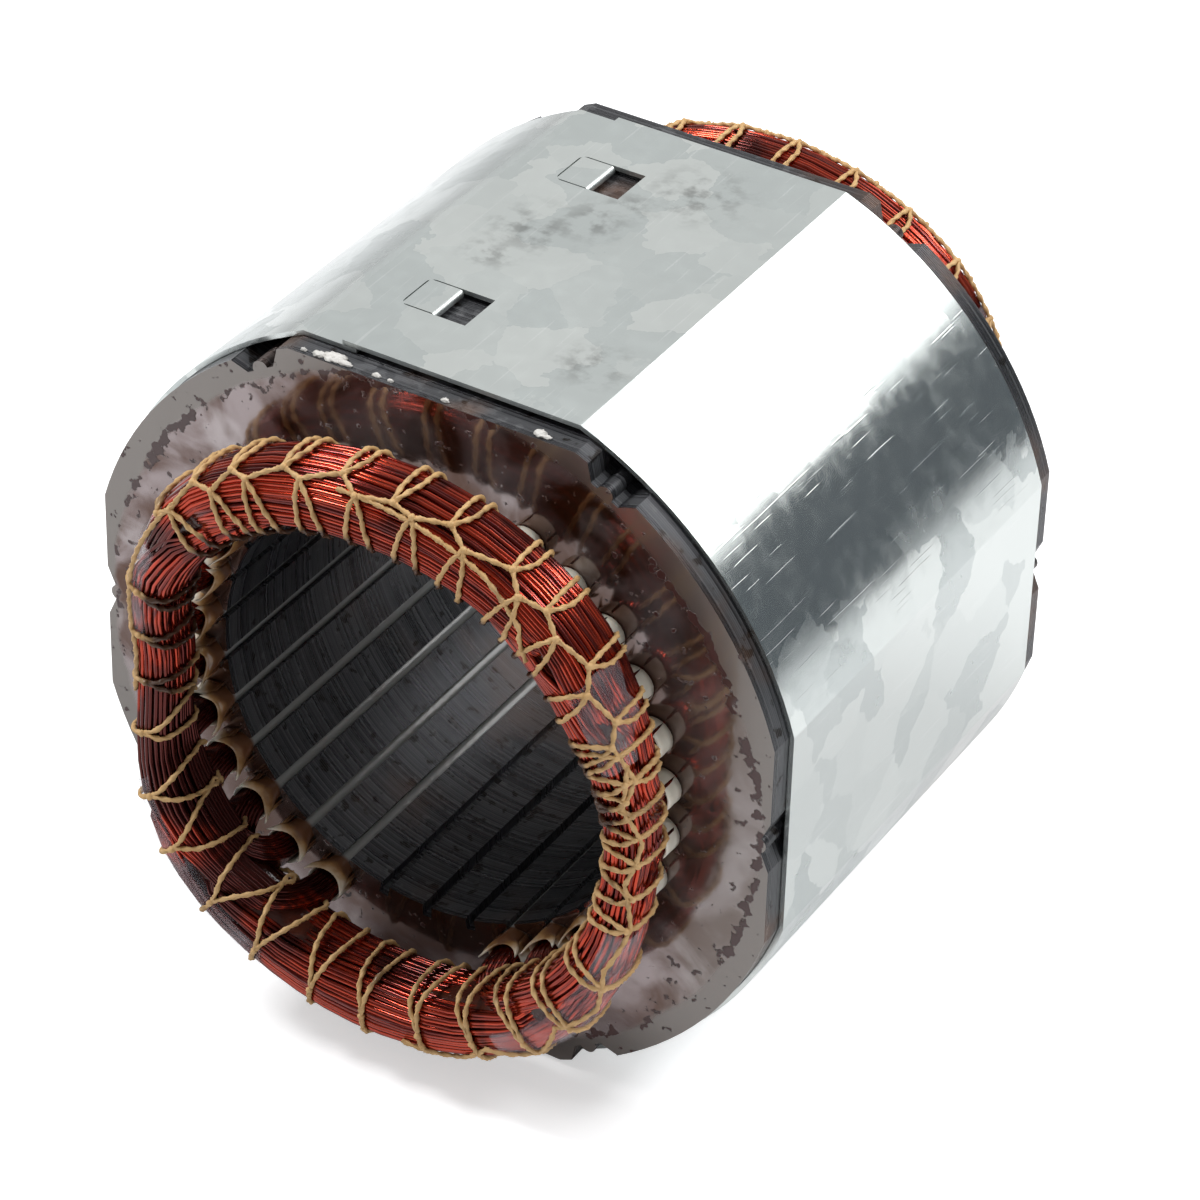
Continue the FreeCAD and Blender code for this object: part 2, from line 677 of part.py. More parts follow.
def lacing_loop(angle, end):
    """One closed turn of cord round the end turns, in the plane through the bore axis."""
    inner, outer, lowest, highest = bundle_limits(angle)
    cord = mm("CordDiameter")
    frames = []
    for margin in (mm("CordClearance"), mm("CordClearance") + cord):
        corners = [(inner - margin, lowest - margin), (outer + margin, lowest - margin),
                   (outer + margin, highest + margin), (inner - margin, highest + margin)]
        points = [polar(0, radius, height, end) for radius, height in corners]
        frames.append(Part.Face(Part.makePolygon(points + points[:1])))
    frame = frames[1].cut(frames[0])
    frame.translate(Vector(0, 0, -cord / 2))
    loop = frame.extrude(Vector(0, 0, cord))
    loop.Placement = turned(angle)
    return loop


def build_lacing():
    """One cord at each end: a loop at every pitch, linked from loop to loop along the outer corner."""
    cord, pitch = mm("CordDiameter"), mm("LacingPitch")
    reach = mm("CordClearance") + cord / 2
    cords = []
    for end_name, end in (("front", -1), ("rear", 1)):
        angles = [pitch * index for index in range(round(360 / pitch))]
        chain = []
        for angle in angles + [360.0]:
            _, outer, _, highest = bundle_limits(angle)
            chain.append(polar(angle, outer + reach, highest + reach, end))
        pieces = [lacing_loop(angle, end) for angle in angles]
        pieces.append(tube(chain, cord * 0.45, 4))
        lacing = doc.addObject("Part::Feature", f"lacing_{end_name}")
        lacing.Label = f"lacing_{end_name}"
        lacing.Shape = pieces[0].multiFuse(pieces[1:]).Solids[0]
        cords.append(lacing)
    return cords


# ---------------------------------------------------------------- build and write

parts = [build_stack(), build_band()]
for number, direction in enumerate(slot_angles(), start=1):
    parts.append(build_liner(f"slot_liner_{number:02d}", direction))
parts.append(build_closures())
parts += main_coils()
parts += auxiliary_coils()
parts += build_separators()
parts += build_lacing()
doc.recompute()

for item in doc.Objects:
    if {"Invalid", "Error"} & set(item.State):
        raise RuntimeError(f"{item.Label} failed to build: {item.State}")
for item in parts:
    if item.Shape.isNull() or not item.Shape.isValid():
        raise RuntimeError(f"{item.Label} has no valid shape")

os.makedirs("parts", exist_ok=True)
for item in parts:
    item.Shape.exportStep(f"parts/{item.Label}.step")
    print(f"{item.Label}: {len(item.Shape.Solids)} solid(s), {item.Shape.Volume / 1000:.2f} cm3")
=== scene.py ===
"""Looks of a wound generator stator: laminations, wrap band, windings, lacing, insulation and studio.

The bore axis runs along Y, the front end faces -Y and +Z is up. Directions round the bore are in
degrees from +X towards +Z. A height is a distance outwards from an end face of the lamination stack.
Sizes are millimetres unless a class says otherwise, and meshes are metres.
"""

import logging
import math
from dataclasses import dataclass, field
from enum import Enum
from typing import Callable, Iterable, Sequence

import bpy
from mathutils import Matrix, Vector, noise

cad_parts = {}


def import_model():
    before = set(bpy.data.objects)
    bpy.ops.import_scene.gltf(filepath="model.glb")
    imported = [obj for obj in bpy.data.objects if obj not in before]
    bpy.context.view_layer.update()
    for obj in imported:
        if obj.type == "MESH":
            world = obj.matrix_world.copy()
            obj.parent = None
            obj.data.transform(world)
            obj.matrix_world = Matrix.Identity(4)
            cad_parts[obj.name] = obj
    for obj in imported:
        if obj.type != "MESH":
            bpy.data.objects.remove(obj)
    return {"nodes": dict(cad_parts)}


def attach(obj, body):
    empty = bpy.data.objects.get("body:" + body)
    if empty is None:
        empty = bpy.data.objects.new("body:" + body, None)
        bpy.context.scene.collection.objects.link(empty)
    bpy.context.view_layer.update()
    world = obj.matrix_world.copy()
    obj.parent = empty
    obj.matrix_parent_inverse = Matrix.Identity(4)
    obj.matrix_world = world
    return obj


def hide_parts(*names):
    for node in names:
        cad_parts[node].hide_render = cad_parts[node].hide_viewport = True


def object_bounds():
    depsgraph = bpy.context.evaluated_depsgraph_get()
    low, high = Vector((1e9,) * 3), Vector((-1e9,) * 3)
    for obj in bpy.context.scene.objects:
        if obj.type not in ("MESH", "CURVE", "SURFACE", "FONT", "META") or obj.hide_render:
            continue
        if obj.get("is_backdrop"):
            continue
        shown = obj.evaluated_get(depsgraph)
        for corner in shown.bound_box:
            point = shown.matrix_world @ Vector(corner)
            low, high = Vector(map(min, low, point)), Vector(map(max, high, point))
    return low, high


LOG = logging.getLogger("stator")
MM = 0.001
Colour = tuple[float, float, float]
Input = "Signal | float | Sequence[float]"
Values = dict[str | int, Input]
Piece = bpy.types.Object
Material = bpy.types.Material


class End(Enum):
    """An end of the stator, by the sign of its outward direction along Y."""

    FRONT = -1
    REAR = 1


# ------------------------------------------------------------------ small tools


def smooth(value: float) -> float:
    """Ease a value from 0 to 1, flat at both limits; it is clamped to them first."""
    value = min(max(value, 0.0), 1.0)
    return value * value * (3 - 2 * value)


def between(table: Sequence[tuple[float, ...]], place: float) -> list[float]:
    """Read a row from a table that is sorted by its first column.

    Args:
        table: Rows of (place, value, value, ...).
        place: Where to read.

    Returns:
        The values there, eased between the neighbouring rows.
    """
    if place <= table[0][0]:
        return list(table[0][1:])
    for low, high in zip(table, table[1:]):
        if place <= high[0]:
            share = smooth((place - low[0]) / (high[0] - low[0]))
            return [a + (b - a) * share for a, b in zip(low[1:], high[1:])]
    return list(table[-1][1:])


def wander(seed: float, place: float) -> float:
    """A repeatable wavy number between about -1 and 1."""
    return noise.noise(Vector((seed * 7.31, place, seed * 1.7)))


def power(value: float, exponent: float) -> float:
    """A power that keeps the value's sign."""
    return math.copysign(abs(value) ** exponent, value)


def polar(direction: float, radius: float, height: float, end: End) -> Vector:
    """Find a point by its place round the bore.

    Args:
        direction: Direction from the bore axis.
        radius: Distance from the bore axis.
        height: Height above the end face.
        end: Which end of the stator.

    Returns:
        The point in metres.
    """
    turn = math.radians(direction)
    along = end.value * (Stack.half_length + height)
    return Vector((radius * math.cos(turn), along, radius * math.sin(turn))) * MM


def from_side(direction: float) -> float:
    """Fold a direction into the quarter from the horizontal, 0, to the pole, 90."""
    return abs((direction + 90) % 180 - 90)


# ------------------------------------------------------------------ handling of pieces


def select_none() -> None:
    """Leave nothing selected and no object active."""
    bpy.ops.object.select_all(action="DESELECT")
    bpy.context.view_layer.objects.active = None


def make_active(piece: Piece) -> None:
    """Select one object alone and make it active.

    Args:
        piece: The object.
    """
    select_none()
    piece.select_set(True)
    bpy.context.view_layer.objects.active = piece


def put_in_scene(name: str, data: bpy.types.ID) -> Piece:
    """Make an object from a mesh, curve, lamp or camera and link it to the scene.

    Args:
        name: Name of the object.
        data: What it shows.

    Returns:
        The object.
    """
    piece = bpy.data.objects.new(name, data)
    bpy.context.scene.collection.objects.link(piece)
    return piece


def rename(piece: Piece, name: str) -> None:
    """Name an object and its mesh."""
    piece.name = piece.data.name = name


def join(pieces: Sequence[Piece], name: str) -> Piece:
    """Join mesh objects into the first one.

    Args:
        pieces: The objects, two or more.
        name: Name of the joined piece.

    Returns:
        The joined object.
    """
    make_active(pieces[0])
    for piece in pieces[1:]:
        piece.select_set(True)
    bpy.ops.object.join()
    rename(pieces[0], name)
    return pieces[0]


def shaped_grid(columns: int, rows: int, shape: Callable[[float, float], Vector]) -> Piece:
    """Make a sheet of faces whose corners are placed by a rule.

    Args:
        columns: Faces in the first direction.
        rows: Faces in the second direction.
        shape: Gives a corner's point from its places in the two directions, each 0 to 1.

    Returns:
        The sheet.
    """
    select_none()
    bpy.ops.mesh.primitive_grid_add(x_subdivisions=columns, y_subdivisions=rows, size=2)
    sheet = bpy.context.object
    for vertex in sheet.data.vertices:
        vertex.co = shape((vertex.co.x + 1) / 2, (vertex.co.y + 1) / 2)
    return sheet


def thicken(sheet: Piece, thickness: float, offset: float = -1.0) -> None:
    """Give a sheet its thickness and smooth shading.

    Args:
        sheet: The sheet.
        thickness: Its thickness.
        offset: -1 puts the new side behind the sheet, 0 keeps the sheet in the middle.
    """
    solid = sheet.modifiers.new("film", "SOLIDIFY")
    solid.thickness = thickness * MM
    solid.offset = offset
    make_active(sheet)
    bpy.ops.object.modifier_apply(modifier=solid.name)
    bpy.ops.object.shade_smooth()


def face_outwards(piece: Piece) -> None:
    """Turn the faces of a closed piece outwards.

    Args:
        piece: The piece.
    """
    make_active(piece)
    bpy.ops.object.mode_set(mode="EDIT")
    bpy.ops.mesh.select_all(action="SELECT")
    bpy.ops.mesh.normals_make_consistent(inside=False)
    bpy.ops.object.mode_set(mode="OBJECT")


def new_curve(name: str) -> bpy.types.Curve:
    """Make an empty curve in space.

    Args:
        name: Name of the curve.

    Returns:
        The curve.
    """
    curve = bpy.data.curves.new(name, "CURVE")
    curve.dimensions = "3D"
    return curve


def lay_run(curve: bpy.types.Curve, points: Sequence[Vector], half_turn: float = math.inf) -> None:
    """Lay a run of straight pieces in a curve.

    Args:
        curve: The curve.
        points: The points that the run passes.
        half_turn: Length in which its section makes half a turn; without it the section keeps still.
    """
    spline = curve.splines.new("POLY")
    spline.points.add(len(points) - 1)
    travelled = 0.0
    before = points[0]
    for target, point in zip(spline.points, points):
        travelled += (point - before).length / MM
        before = point
        target.co = (*point, 1.0)
        target.tilt = travelled / half_turn * math.pi


def swept(curve: bpy.types.Curve) -> Piece:
    """Turn a curve into a smooth mesh object of the same name.

    Args:
        curve: The curve.

    Returns:
        The object.
    """
    make_active(put_in_scene(curve.name, curve))
    bpy.ops.object.convert(target="MESH")
    bpy.ops.object.shade_smooth()
    return bpy.context.object


def coat(piece: Piece, paint: Material) -> None:
    """Give a piece one material."""
    piece.data.materials.clear()
    piece.data.materials.append(paint)


def finish_piece(piece: Piece, paint: Material, nodes: Iterable[str] = ()) -> None:
    """Dress a piece, let it ride on the stator and have it stand for CAD nodes.

    Args:
        piece: The finished object.
        paint: Its material.
        nodes: CAD nodes that the piece replaces.
    """
    coat(piece, paint)
    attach(piece, "root")
    if nodes:
        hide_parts(*nodes)
    LOG.info("%s: %d faces", piece.name, len(piece.data.polygons))


# ------------------------------------------------------------------ node trees


class Signal:
    """The output of a node. Arithmetic with signals and numbers adds the nodes that work it out."""

    def __init__(self, graph: "Graph", socket: bpy.types.NodeSocket) -> None:
        """Keep an output together with the graph that it belongs to."""
        self.graph = graph
        self.socket = socket

    def __add__(self, other: Input) -> "Signal":
        """The sum with a signal or number."""
        return self.graph.math("ADD", self, other)

    def __sub__(self, other: Input) -> "Signal":
        """The difference from a signal or number."""
        return self.graph.math("SUBTRACT", self, other)

    def __rsub__(self, other: float) -> "Signal":
        """What is left of a number without this signal."""
        return self.graph.math("SUBTRACT", other, self)

    def __mul__(self, other: Input) -> "Signal":
        """The product with a signal or number."""
        return self.graph.math("MULTIPLY", self, other)

    def __abs__(self) -> "Signal":
        """The signal without its sign."""
        return self.graph.math("ABSOLUTE", self)

    def spread(self, low: float, high: float, start: float = 0, end: float = 1) -> "Signal":
        """Map low..high to start..end, clamped and eased."""
        values = {0: self, 1: low, 2: high, 3: start, 4: end}
        return self.graph.signal("ShaderNodeMapRange", values, interpolation_type="SMOOTHSTEP")

    def ramp(self, low: float, high: float, start: float = 0, end: float = 1) -> "Signal":
        """Map a length, from low to high in millimetres, to start..end."""
        return self.spread(low * MM, high * MM, start, end)

    def mix(self, a: Input, b: Input) -> "Signal":
        """Blend two colours by this share of the second."""
        return self.graph.signal("ShaderNodeMix", {0: self, 6: a, 7: b}, 2, data_type="RGBA")

    def blend(self, a: Input, b: Input) -> "Signal":
        """Blend two numbers by this share of the second."""
        return self.graph.signal("ShaderNodeMix", {0: self, 2: a, 3: b}, data_type="FLOAT")


class Graph:
    """A node tree, built by short calls. Numbers and colours may stand in for signals."""

    def __init__(self, tree: bpy.types.NodeTree) -> None:
        """Empty a node tree and take it over."""
        self.tree = tree
        self.tree.nodes.clear()

    def node(self, kind: str, values: Values, **settings: object) -> bpy.types.Node:
        """Add a node.

        Args:
            kind: Blender's name of the node type.
            values: Input name or index to a signal, number or colour.
            **settings: Properties of the node.

        Returns:
            The node.
        """
        node = self.tree.nodes.new(kind)
        for name, value in settings.items():
            setattr(node, name, value)
        for key, value in values.items():
            self.feed(node.inputs[key], value)
        return node

    def signal(self, kind: str, values: Values, output: str | int = 0, **settings: object) -> Signal:
        """Add a node and take one of its outputs, by name or index."""
        return Signal(self, self.node(kind, values, **settings).outputs[output])

    def feed(self, socket: bpy.types.NodeSocket, value: Input) -> None:
        """Link an input to a signal, or set it to a number or colour.

        Args:
            socket: The input.
            value: What it gets.
        """
        if isinstance(value, Signal):
            self.tree.links.new(value.socket, socket)
        elif isinstance(value, tuple) and socket.type == "RGBA":
            socket.default_value = (*value, 1.0)
        else:
            socket.default_value = value

    def math(self, operation: str, a: Input, b: Input = 0.0) -> Signal:
        """One step of arithmetic."""
        return self.signal("ShaderNodeMath", {0: a, 1: b}, operation=operation)

    def vectors(self, operation: str, values: Values) -> Signal:
        """One step of arithmetic with vectors."""
        return self.signal("ShaderNodeVectorMath", values, operation=operation)

    def length(self, a: Signal, b: Signal) -> Signal:
        """The long side over two sides at a right angle."""
        return self.math("SQRT", a * a + b * b)


class Paint(Graph):
    """A material of one Principled shader; x, y and z are the object's own coordinates in metres."""

    def __init__(self, name: str) -> None:
        """Start the material.

        Args:
            name: Name of the material.
        """
        self.material = bpy.data.materials.new(name)
        self.material.use_nodes = True
        super().__init__(self.material.node_tree)
        self.shader = self.node("ShaderNodeBsdfPrincipled", {})
        self.node("ShaderNodeOutputMaterial", {0: Signal(self, self.shader.outputs[0])})
        self.place = self.signal("ShaderNodeTexCoord", {}, "Object")
        axes = self.node("ShaderNodeSeparateXYZ", {0: self.place}).outputs
        self.x, self.y, self.z = (Signal(self, axis) for axis in axes)

    def noise(self, scale: float, detail: float = 3, vector: Signal | None = None,
              distortion: float = 0) -> Signal:
        """Cloudy noise from 0 to 1.

        Args:
            scale: Blobs per metre.
            detail: Octaves.
            vector: Coordinates; the object's own when None.
            distortion: How far the blobs are pulled out of round.

        Returns:
            The noise.
        """
        values = {"Vector": vector or self.place, "Scale": scale, "Detail": detail, "Distortion": distortion}
        return self.signal("ShaderNodeTexNoise", values, "Fac")

    def radius(self) -> Signal:
        """Distance from the bore axis."""
        return self.length(self.x, self.z)

    def flat(self, x: Signal, y: Signal) -> Signal:
        """Coordinates on a flat sheet."""
        return self.signal("ShaderNodeCombineXYZ", {0: x, 1: y, 2: 0.0})

    def bump(self, height: Signal, distance: float, strength: float = 1,
             normal: Signal | None = None) -> Signal:
        """A normal from a height map.

        Args:
            height: The height, as a share of the distance.
            distance: Height in millimetres of a share of 1.
            strength: How much of the relief is kept.
            normal: The normal that it is added to; the surface's own when None.

        Returns:
            The new normal.
        """
        values = {"Height": height, "Distance": distance * MM, "Strength": strength}
        if normal:
            values["Normal"] = normal
        return self.signal("ShaderNodeBump", values)

    def finish(self, **sockets: Input) -> Material:
        """Feed the shader's sockets and hand over the material.

        Args:
            **sockets: Socket name, with _ for a space, to a signal, number or colour.

        Returns:
            The material.
        """
        for name, value in sockets.items():
            self.feed(self.shader.inputs[name.replace("_", " ")], value)
        return self.material


# ------------------------------------------------------------------ finishes


@dataclass(frozen=True)
class Enamel:
    """Red-brown wire enamel under glossy varnish; every strand keeps its own shade."""

    dark: Colour = (0.12, 0.008, 0.005)
    light: Colour = (0.50, 0.049, 0.017)
    varnish: Colour = (0.080, 0.008, 0.005)

    def build(self) -> Material:
        """Build the material.

        Returns:
            The material.
        """
        paint = Paint("wire_enamel")
        strand = paint.noise(900, 1, paint.flat(paint.radius(), paint.y)).spread(0.35, 0.65)
        low = paint.z.ramp(-20, 15, 0.24, 0) * paint.x.ramp(-34, -6, 1, 0)
        soaked = (paint.noise(70, 4) + low).spread(0.56, 0.70)
        colour = soaked.mix(strand.mix(self.dark, self.light), self.varnish)
        skin = paint.bump(paint.noise(260, 1), 0.03, 0.4)
        return paint.finish(Base_Color=colour, Metallic=0.88, Roughness=soaked.blend(0.17, 0.10), Normal=skin,
                            Coat_Weight=0.4, Coat_Roughness=0.05, Coat_IOR=1.50)


@dataclass(frozen=True)
class Resin:
    """Dark varnish that fills the winding behind its outer strands."""

    dark: Colour = (0.030, 0.008, 0.006)
    light: Colour = (0.075, 0.018, 0.010)

    def build(self) -> Material:
        """Build the material.

        Returns:
            The material.
        """
        paint = Paint("varnish_fill")
        colour = paint.noise(240).mix(self.dark, self.light)
        return paint.finish(Base_Color=colour, Roughness=0.16, Normal=paint.bump(paint.noise(420), 0.4))


@dataclass(frozen=True)
class WaxedCord:
    """Tan waxed cord, dark where it is soaked with varnish; its darkening on the side of the bore, strongest
    towards the top, is painted shade.
    """

    tan: Colour = (0.50, 0.285, 0.100)
    pale: Colour = (0.72, 0.48, 0.23)
    # soaked colour, used both for real varnish soaking and for the painted shade on the bore side
    soaked: Colour = (0.075, 0.034, 0.018)

    def build(self) -> Material:
        """Build the material.

        Returns:
            The material.
        """
        paint = Paint("waxed_cord")
        # painted shade: the side towards the bore is darkened, fully above the middle height and only a
        # little at the bottom
        bore_side_shade = paint.radius().ramp(48, 54.5, 0.42, 0) * paint.z.ramp(-20, 20, 0.15, 1)
        # the dark mask holds real varnish soaking from the noise and the painted shade on the bore side
        dark = (paint.noise(95, 4) + bore_side_shade).spread(0.58, 0.80)
        colour = dark.mix(paint.noise(260).mix(self.tan, self.pale), self.soaked)
        fibres = paint.bump(paint.noise(2600), 0.12, 0.7)
        return paint.finish(Base_Color=colour, Roughness=dark.blend(0.52, 0.26), Normal=fibres)


@dataclass(frozen=True)
class InsulatingFilm:
    """Cream slot film, amber and brown towards the stack where varnish ran into it; the grey inside the slot
    is painted shade.
    """

    cream: Colour = (0.86, 0.82, 0.71)
    amber: Colour = (0.42, 0.235, 0.085)
    brown: Colour = (0.12, 0.050, 0.022)
    # painted shade: colour of the cream film where it lies in shade inside the slot
    grey: Colour = (0.30, 0.305, 0.295)

    def build(self, name: str, stain: float) -> Material:
        """Build the material.

        Args:
            name: Name of the material.
            stain: How far the stain reaches out of the stack, from 0 to 1.

        Returns:
            The material.
        """
        paint = Paint(name)
        radius = paint.radius()
        height = abs(paint.y) - Stack.half_length * MM
        cloudy = paint.noise(170, 4) * radius.ramp(49, 53, 1, 0.15) * (6.8 * MM * stain)
        level = height - cloudy - radius.ramp(48.5, 52, 1, 0) * (3.2 * MM * stain)
        amber = level.ramp(-3.4, 1.0, 1, 0)
        brown = level.ramp(-4.6, -1.6, 1, 0)
        # painted shade: inside the slot the film is painted grey, and its roughness is set to 0.24
        inside = height.ramp(-1.2, 0, 1, 0)
        colour = brown.mix(amber.mix(self.cream, self.amber), self.brown)
        crease = paint.bump(paint.noise(650, 2), 0.18, 0.6)
        return paint.finish(Base_Color=inside.mix(colour, self.grey), Normal=crease,
                            Roughness=inside.blend(amber.blend(0.42, 0.2), 0.24), Subsurface_Weight=0.12,
                            Subsurface_Radius=(0.0006, 0.0004, 0.0003), Coat_Weight=0.35, Coat_Roughness=0.12)


@dataclass(frozen=True)
class ClearFilm:
    """Grey-lilac film between the windings, nearly clear."""

    tint: Colour = (0.62, 0.58, 0.66)
    pale: Colour = (0.80, 0.78, 0.82)

    def build(self) -> Material:
        """Build the material.

        Returns:
            The material.
        """
        paint = Paint("separator_film")
        cloud = paint.noise(120)
        crease = paint.bump(paint.noise(160, 1), 0.4, 0.5)
        return paint.finish(Base_Color=cloud.mix(self.tint, self.pale), Roughness=0.12, Normal=crease,
                            Alpha=cloud.spread(0.35, 0.75, 0.05, 0.15))


@dataclass(frozen=True)
class Laminations:
    """Edges of the punched sheets, and the varnished end faces of the stack."""

    edge: Colour = (0.038, 0.039, 0.044)
    glint: Colour = (0.100, 0.103, 0.110)
    gap: Colour = (0.012, 0.012, 0.013)
    speck: Colour = (0.012, 0.009, 0.008)
    rust: Colour = (0.115, 0.062, 0.040)
    face: Colour = (0.34, 0.285, 0.285)
    land: Colour = (0.22, 0.20, 0.185)
    amber: Colour = (0.085, 0.033, 0.017)
    crust: Colour = (0.050, 0.012, 0.010)
    milk: Colour = (0.60, 0.56, 0.56)
    sheet_pitch: float = 0.5

    def build(self) -> Material:
        """Build the material.

        Returns:
            The material.
        """
        paint = Paint("laminations")
        radius = paint.radius()
        is_face = paint.math("GREATER_THAN", abs(paint.y), (Stack.half_length - 0.02) * MM)

        # sheet edges: each sheet has its own shade, with a fine line between neighbours
        count = paint.math("DIVIDE", paint.y, self.sheet_pitch * MM)
        sheet = paint.math("FLOOR", count)
        own = paint.signal("ShaderNodeTexWhiteNoise", {"W": sheet}, noise_dimensions="1D")
        line = abs(paint.math("FRACT", count) - 0.5).spread(0.28, 0.5)
        edge = own.spread(0.1, 1).mix(self.edge, self.glint)
        edge = (line * 0.75).mix(edge, self.gap)
        edge = paint.noise(330, 5).spread(0.60, 0.66).mix(edge, self.speck)
        outside = 1 - radius.ramp(49, 50, 1, 0)
        rusty = paint.noise(45, 4).spread(0.50, 0.72) * outside.blend(0.35, 0.9)
        edge = rusty.mix(edge, self.rust)

        # end faces: varnish over steel, a cleaner land at the rim, crust and milky residue
        fine = paint.noise(210, 5)
        face = paint.noise(48, 5, distortion=1.2).spread(0.38, 0.62).mix(self.face, self.amber)
        inner = (radius + fine * (6 * MM)).ramp(56, 64, 1, 0)
        face = (inner * 0.85).mix(face, self.amber)
        milk = paint.noise(33, 4, distortion=2).spread(0.53, 0.66) * fine.spread(0.3, 0.6)
        face = (milk * 0.35).mix(face, self.milk)
        face = (paint.x.ramp(46, 64) * 0.55).mix(face, self.land)
        rim = radius + paint.noise(90) * (3 * MM)
        is_land = rim.ramp(71.6, 73.2)
        crust_band = rim.ramp(69.5, 72.5) * rim.ramp(72.2, 73.5, 1, 0)
        patchy = paint.noise(24, 2).spread(0.44, 0.60, 0.06, 0.26)
        crust = (paint.noise(420, 4) + crust_band * patchy).spread(0.64, 0.69)
        face = crust.mix(is_land.mix(face, self.land), self.crust)

        wet = crust.blend(is_land.blend(fine.spread(0.2, 0.8, 0.07, 0.20), 0.34), 0.5)
        rough = is_face.blend(own.spread(0, 1, 0.26, 0.44), wet)
        metal = crust.blend(is_face.blend(0.62, is_land.blend(0.75, 0.85)), 0.0)
        steps = (1 - is_face) * (own - line)
        relief = steps * 0.5 + crust * is_face * 3.0 + paint.noise(160) * 0.5
        return paint.finish(Base_Color=is_face.mix(edge, face), Metallic=metal, Roughness=rough,
                            Normal=paint.bump(relief, 0.12, 0.8), Coat_Weight=is_face * 0.55,
                            Coat_Roughness=0.05)


@dataclass(frozen=True)
class Galvanised:
    """Zinc-coated sheet: spangle, short scratches, and smudges on the top flat."""

    zinc: Colour = (0.70, 0.735, 0.715)
    dull: Colour = (0.56, 0.60, 0.59)
    bright: Colour = (0.90, 0.91, 0.91)
    smudge: Colour = (0.20, 0.205, 0.20)
    sheet_radius: float = 74.0
    # place across, place along and reach of each smudge
    smudges: tuple[tuple[float, float, float], ...] = (
        (-14, 4, 15), (-6, 12, 12), (-3, 20, 9), (6, 31, 16), (20, -30, 12), (-16, -8, 9))
    # direction, stretch and threshold of each family of scratches
    scratches: tuple[tuple[float, float, float], ...] = (
        (7, 0.022, 0.68), (-38, 0.03, 0.69), (71, 0.03, 0.69))

    def scratched(self, paint: Paint, sheet: Signal) -> Signal:
        """How scratched the sheet is, from 0 to 1.

        Args:
            paint: The material.
            sheet: Coordinates on the sheet, laid flat.

        Returns:
            The deepest scratch of all families.
        """
        marks: Input = 0.0
        for turn, stretch, limit in self.scratches:
            values = {0: sheet, 2: (0.0, 0.0, math.radians(turn)), 3: (1.0, stretch, 1.0)}
            lane = paint.signal("ShaderNodeMapping", values)
            marks = paint.math("MAXIMUM", marks, paint.noise(1500, 1, lane).spread(limit, limit + 0.07))
        return marks

    def dirty(self, paint: Paint) -> Signal:
        """How smudged the top flat is, from 0 to 1.

        Args:
            paint: The material.

        Returns:
            The darkest smudge at each place.
        """
        dirt: Input = 0.0
        for x, y, reach in self.smudges:
            away = paint.length(paint.x - x * MM, paint.y - y * MM)
            dirt = paint.math("MAXIMUM", dirt, away.ramp(0, reach, 1, 0))
        return dirt

    def build(self) -> Material:
        """Build the material.

        Returns:
            The material.
        """
        paint = Paint("galvanised_sheet")
        sheet = paint.flat(paint.math("ARCTAN2", paint.z, paint.x) * (self.sheet_radius * MM), paint.y)
        fern = paint.signal("ShaderNodeTexNoise", {"Vector": sheet, "Scale": 210.0, "Detail": 3.0}, "Color")
        frond = paint.vectors("ADD", {0: sheet, 1: paint.vectors("SCALE", {0: fern, 3: 0.006})})
        spangle = paint.signal("ShaderNodeTexVoronoi", {"Vector": frond, "Scale": 75.0}, "Color")
        grain = paint.signal("ShaderNodeSeparateXYZ", {0: spangle})
        cloud = paint.noise(26, 5, sheet)
        wear = paint.noise(240, 5, sheet)
        marks = self.scratched(paint, sheet)
        is_top = paint.z.ramp(69, 70)
        dirt = self.dirty(paint) * is_top * wear.spread(0.42, 0.66)
        colour = grain.spread(0.1, 0.9).mix(self.zinc, self.dull)
        colour = (marks * 0.22).mix(colour, self.bright)
        colour = (dirt * 0.8).mix(colour, self.smudge)
        haze = is_top * cloud.spread(0.3, 0.7, 0.16, 0.22)
        rough = grain.spread(0, 1, 0.13, 0.23) + wear.spread(0.4, 0.7) * 0.06 + haze + dirt * 0.2
        tilt = paint.vectors("SUBTRACT", {0: spangle, 1: (0.5, 0.5, 0.5)})
        normal = paint.signal("ShaderNodeNewGeometry", {}, "Normal")
        normal = paint.vectors("ADD", {0: normal, 1: paint.vectors("SCALE", {0: tilt, 3: 0.022})})
        normal = paint.bump(marks * 0.3 + cloud * 2.5, 0.05, 0.7, paint.vectors("NORMALIZE", {0: normal}))
        return paint.finish(Base_Color=colour, Metallic=0.95, Roughness=rough, Normal=normal)


@dataclass(frozen=True)
class Plaster:
    """White crumbs stuck to the edge of the stack."""

    white: Colour = (0.80, 0.79, 0.76)
    grey: Colour = (0.45, 0.43, 0.40)

    def build(self) -> Material:
        """Build the material.

        Returns:
            The material.
        """
        paint = Paint("white_crumbs")
        colour = paint.noise(600).mix(self.white, self.grey)
        return paint.finish(Base_Color=colour, Roughness=0.85, Normal=paint.bump(paint.noise(1500), 0.3))


# ------------------------------------------------------------------ stack and band


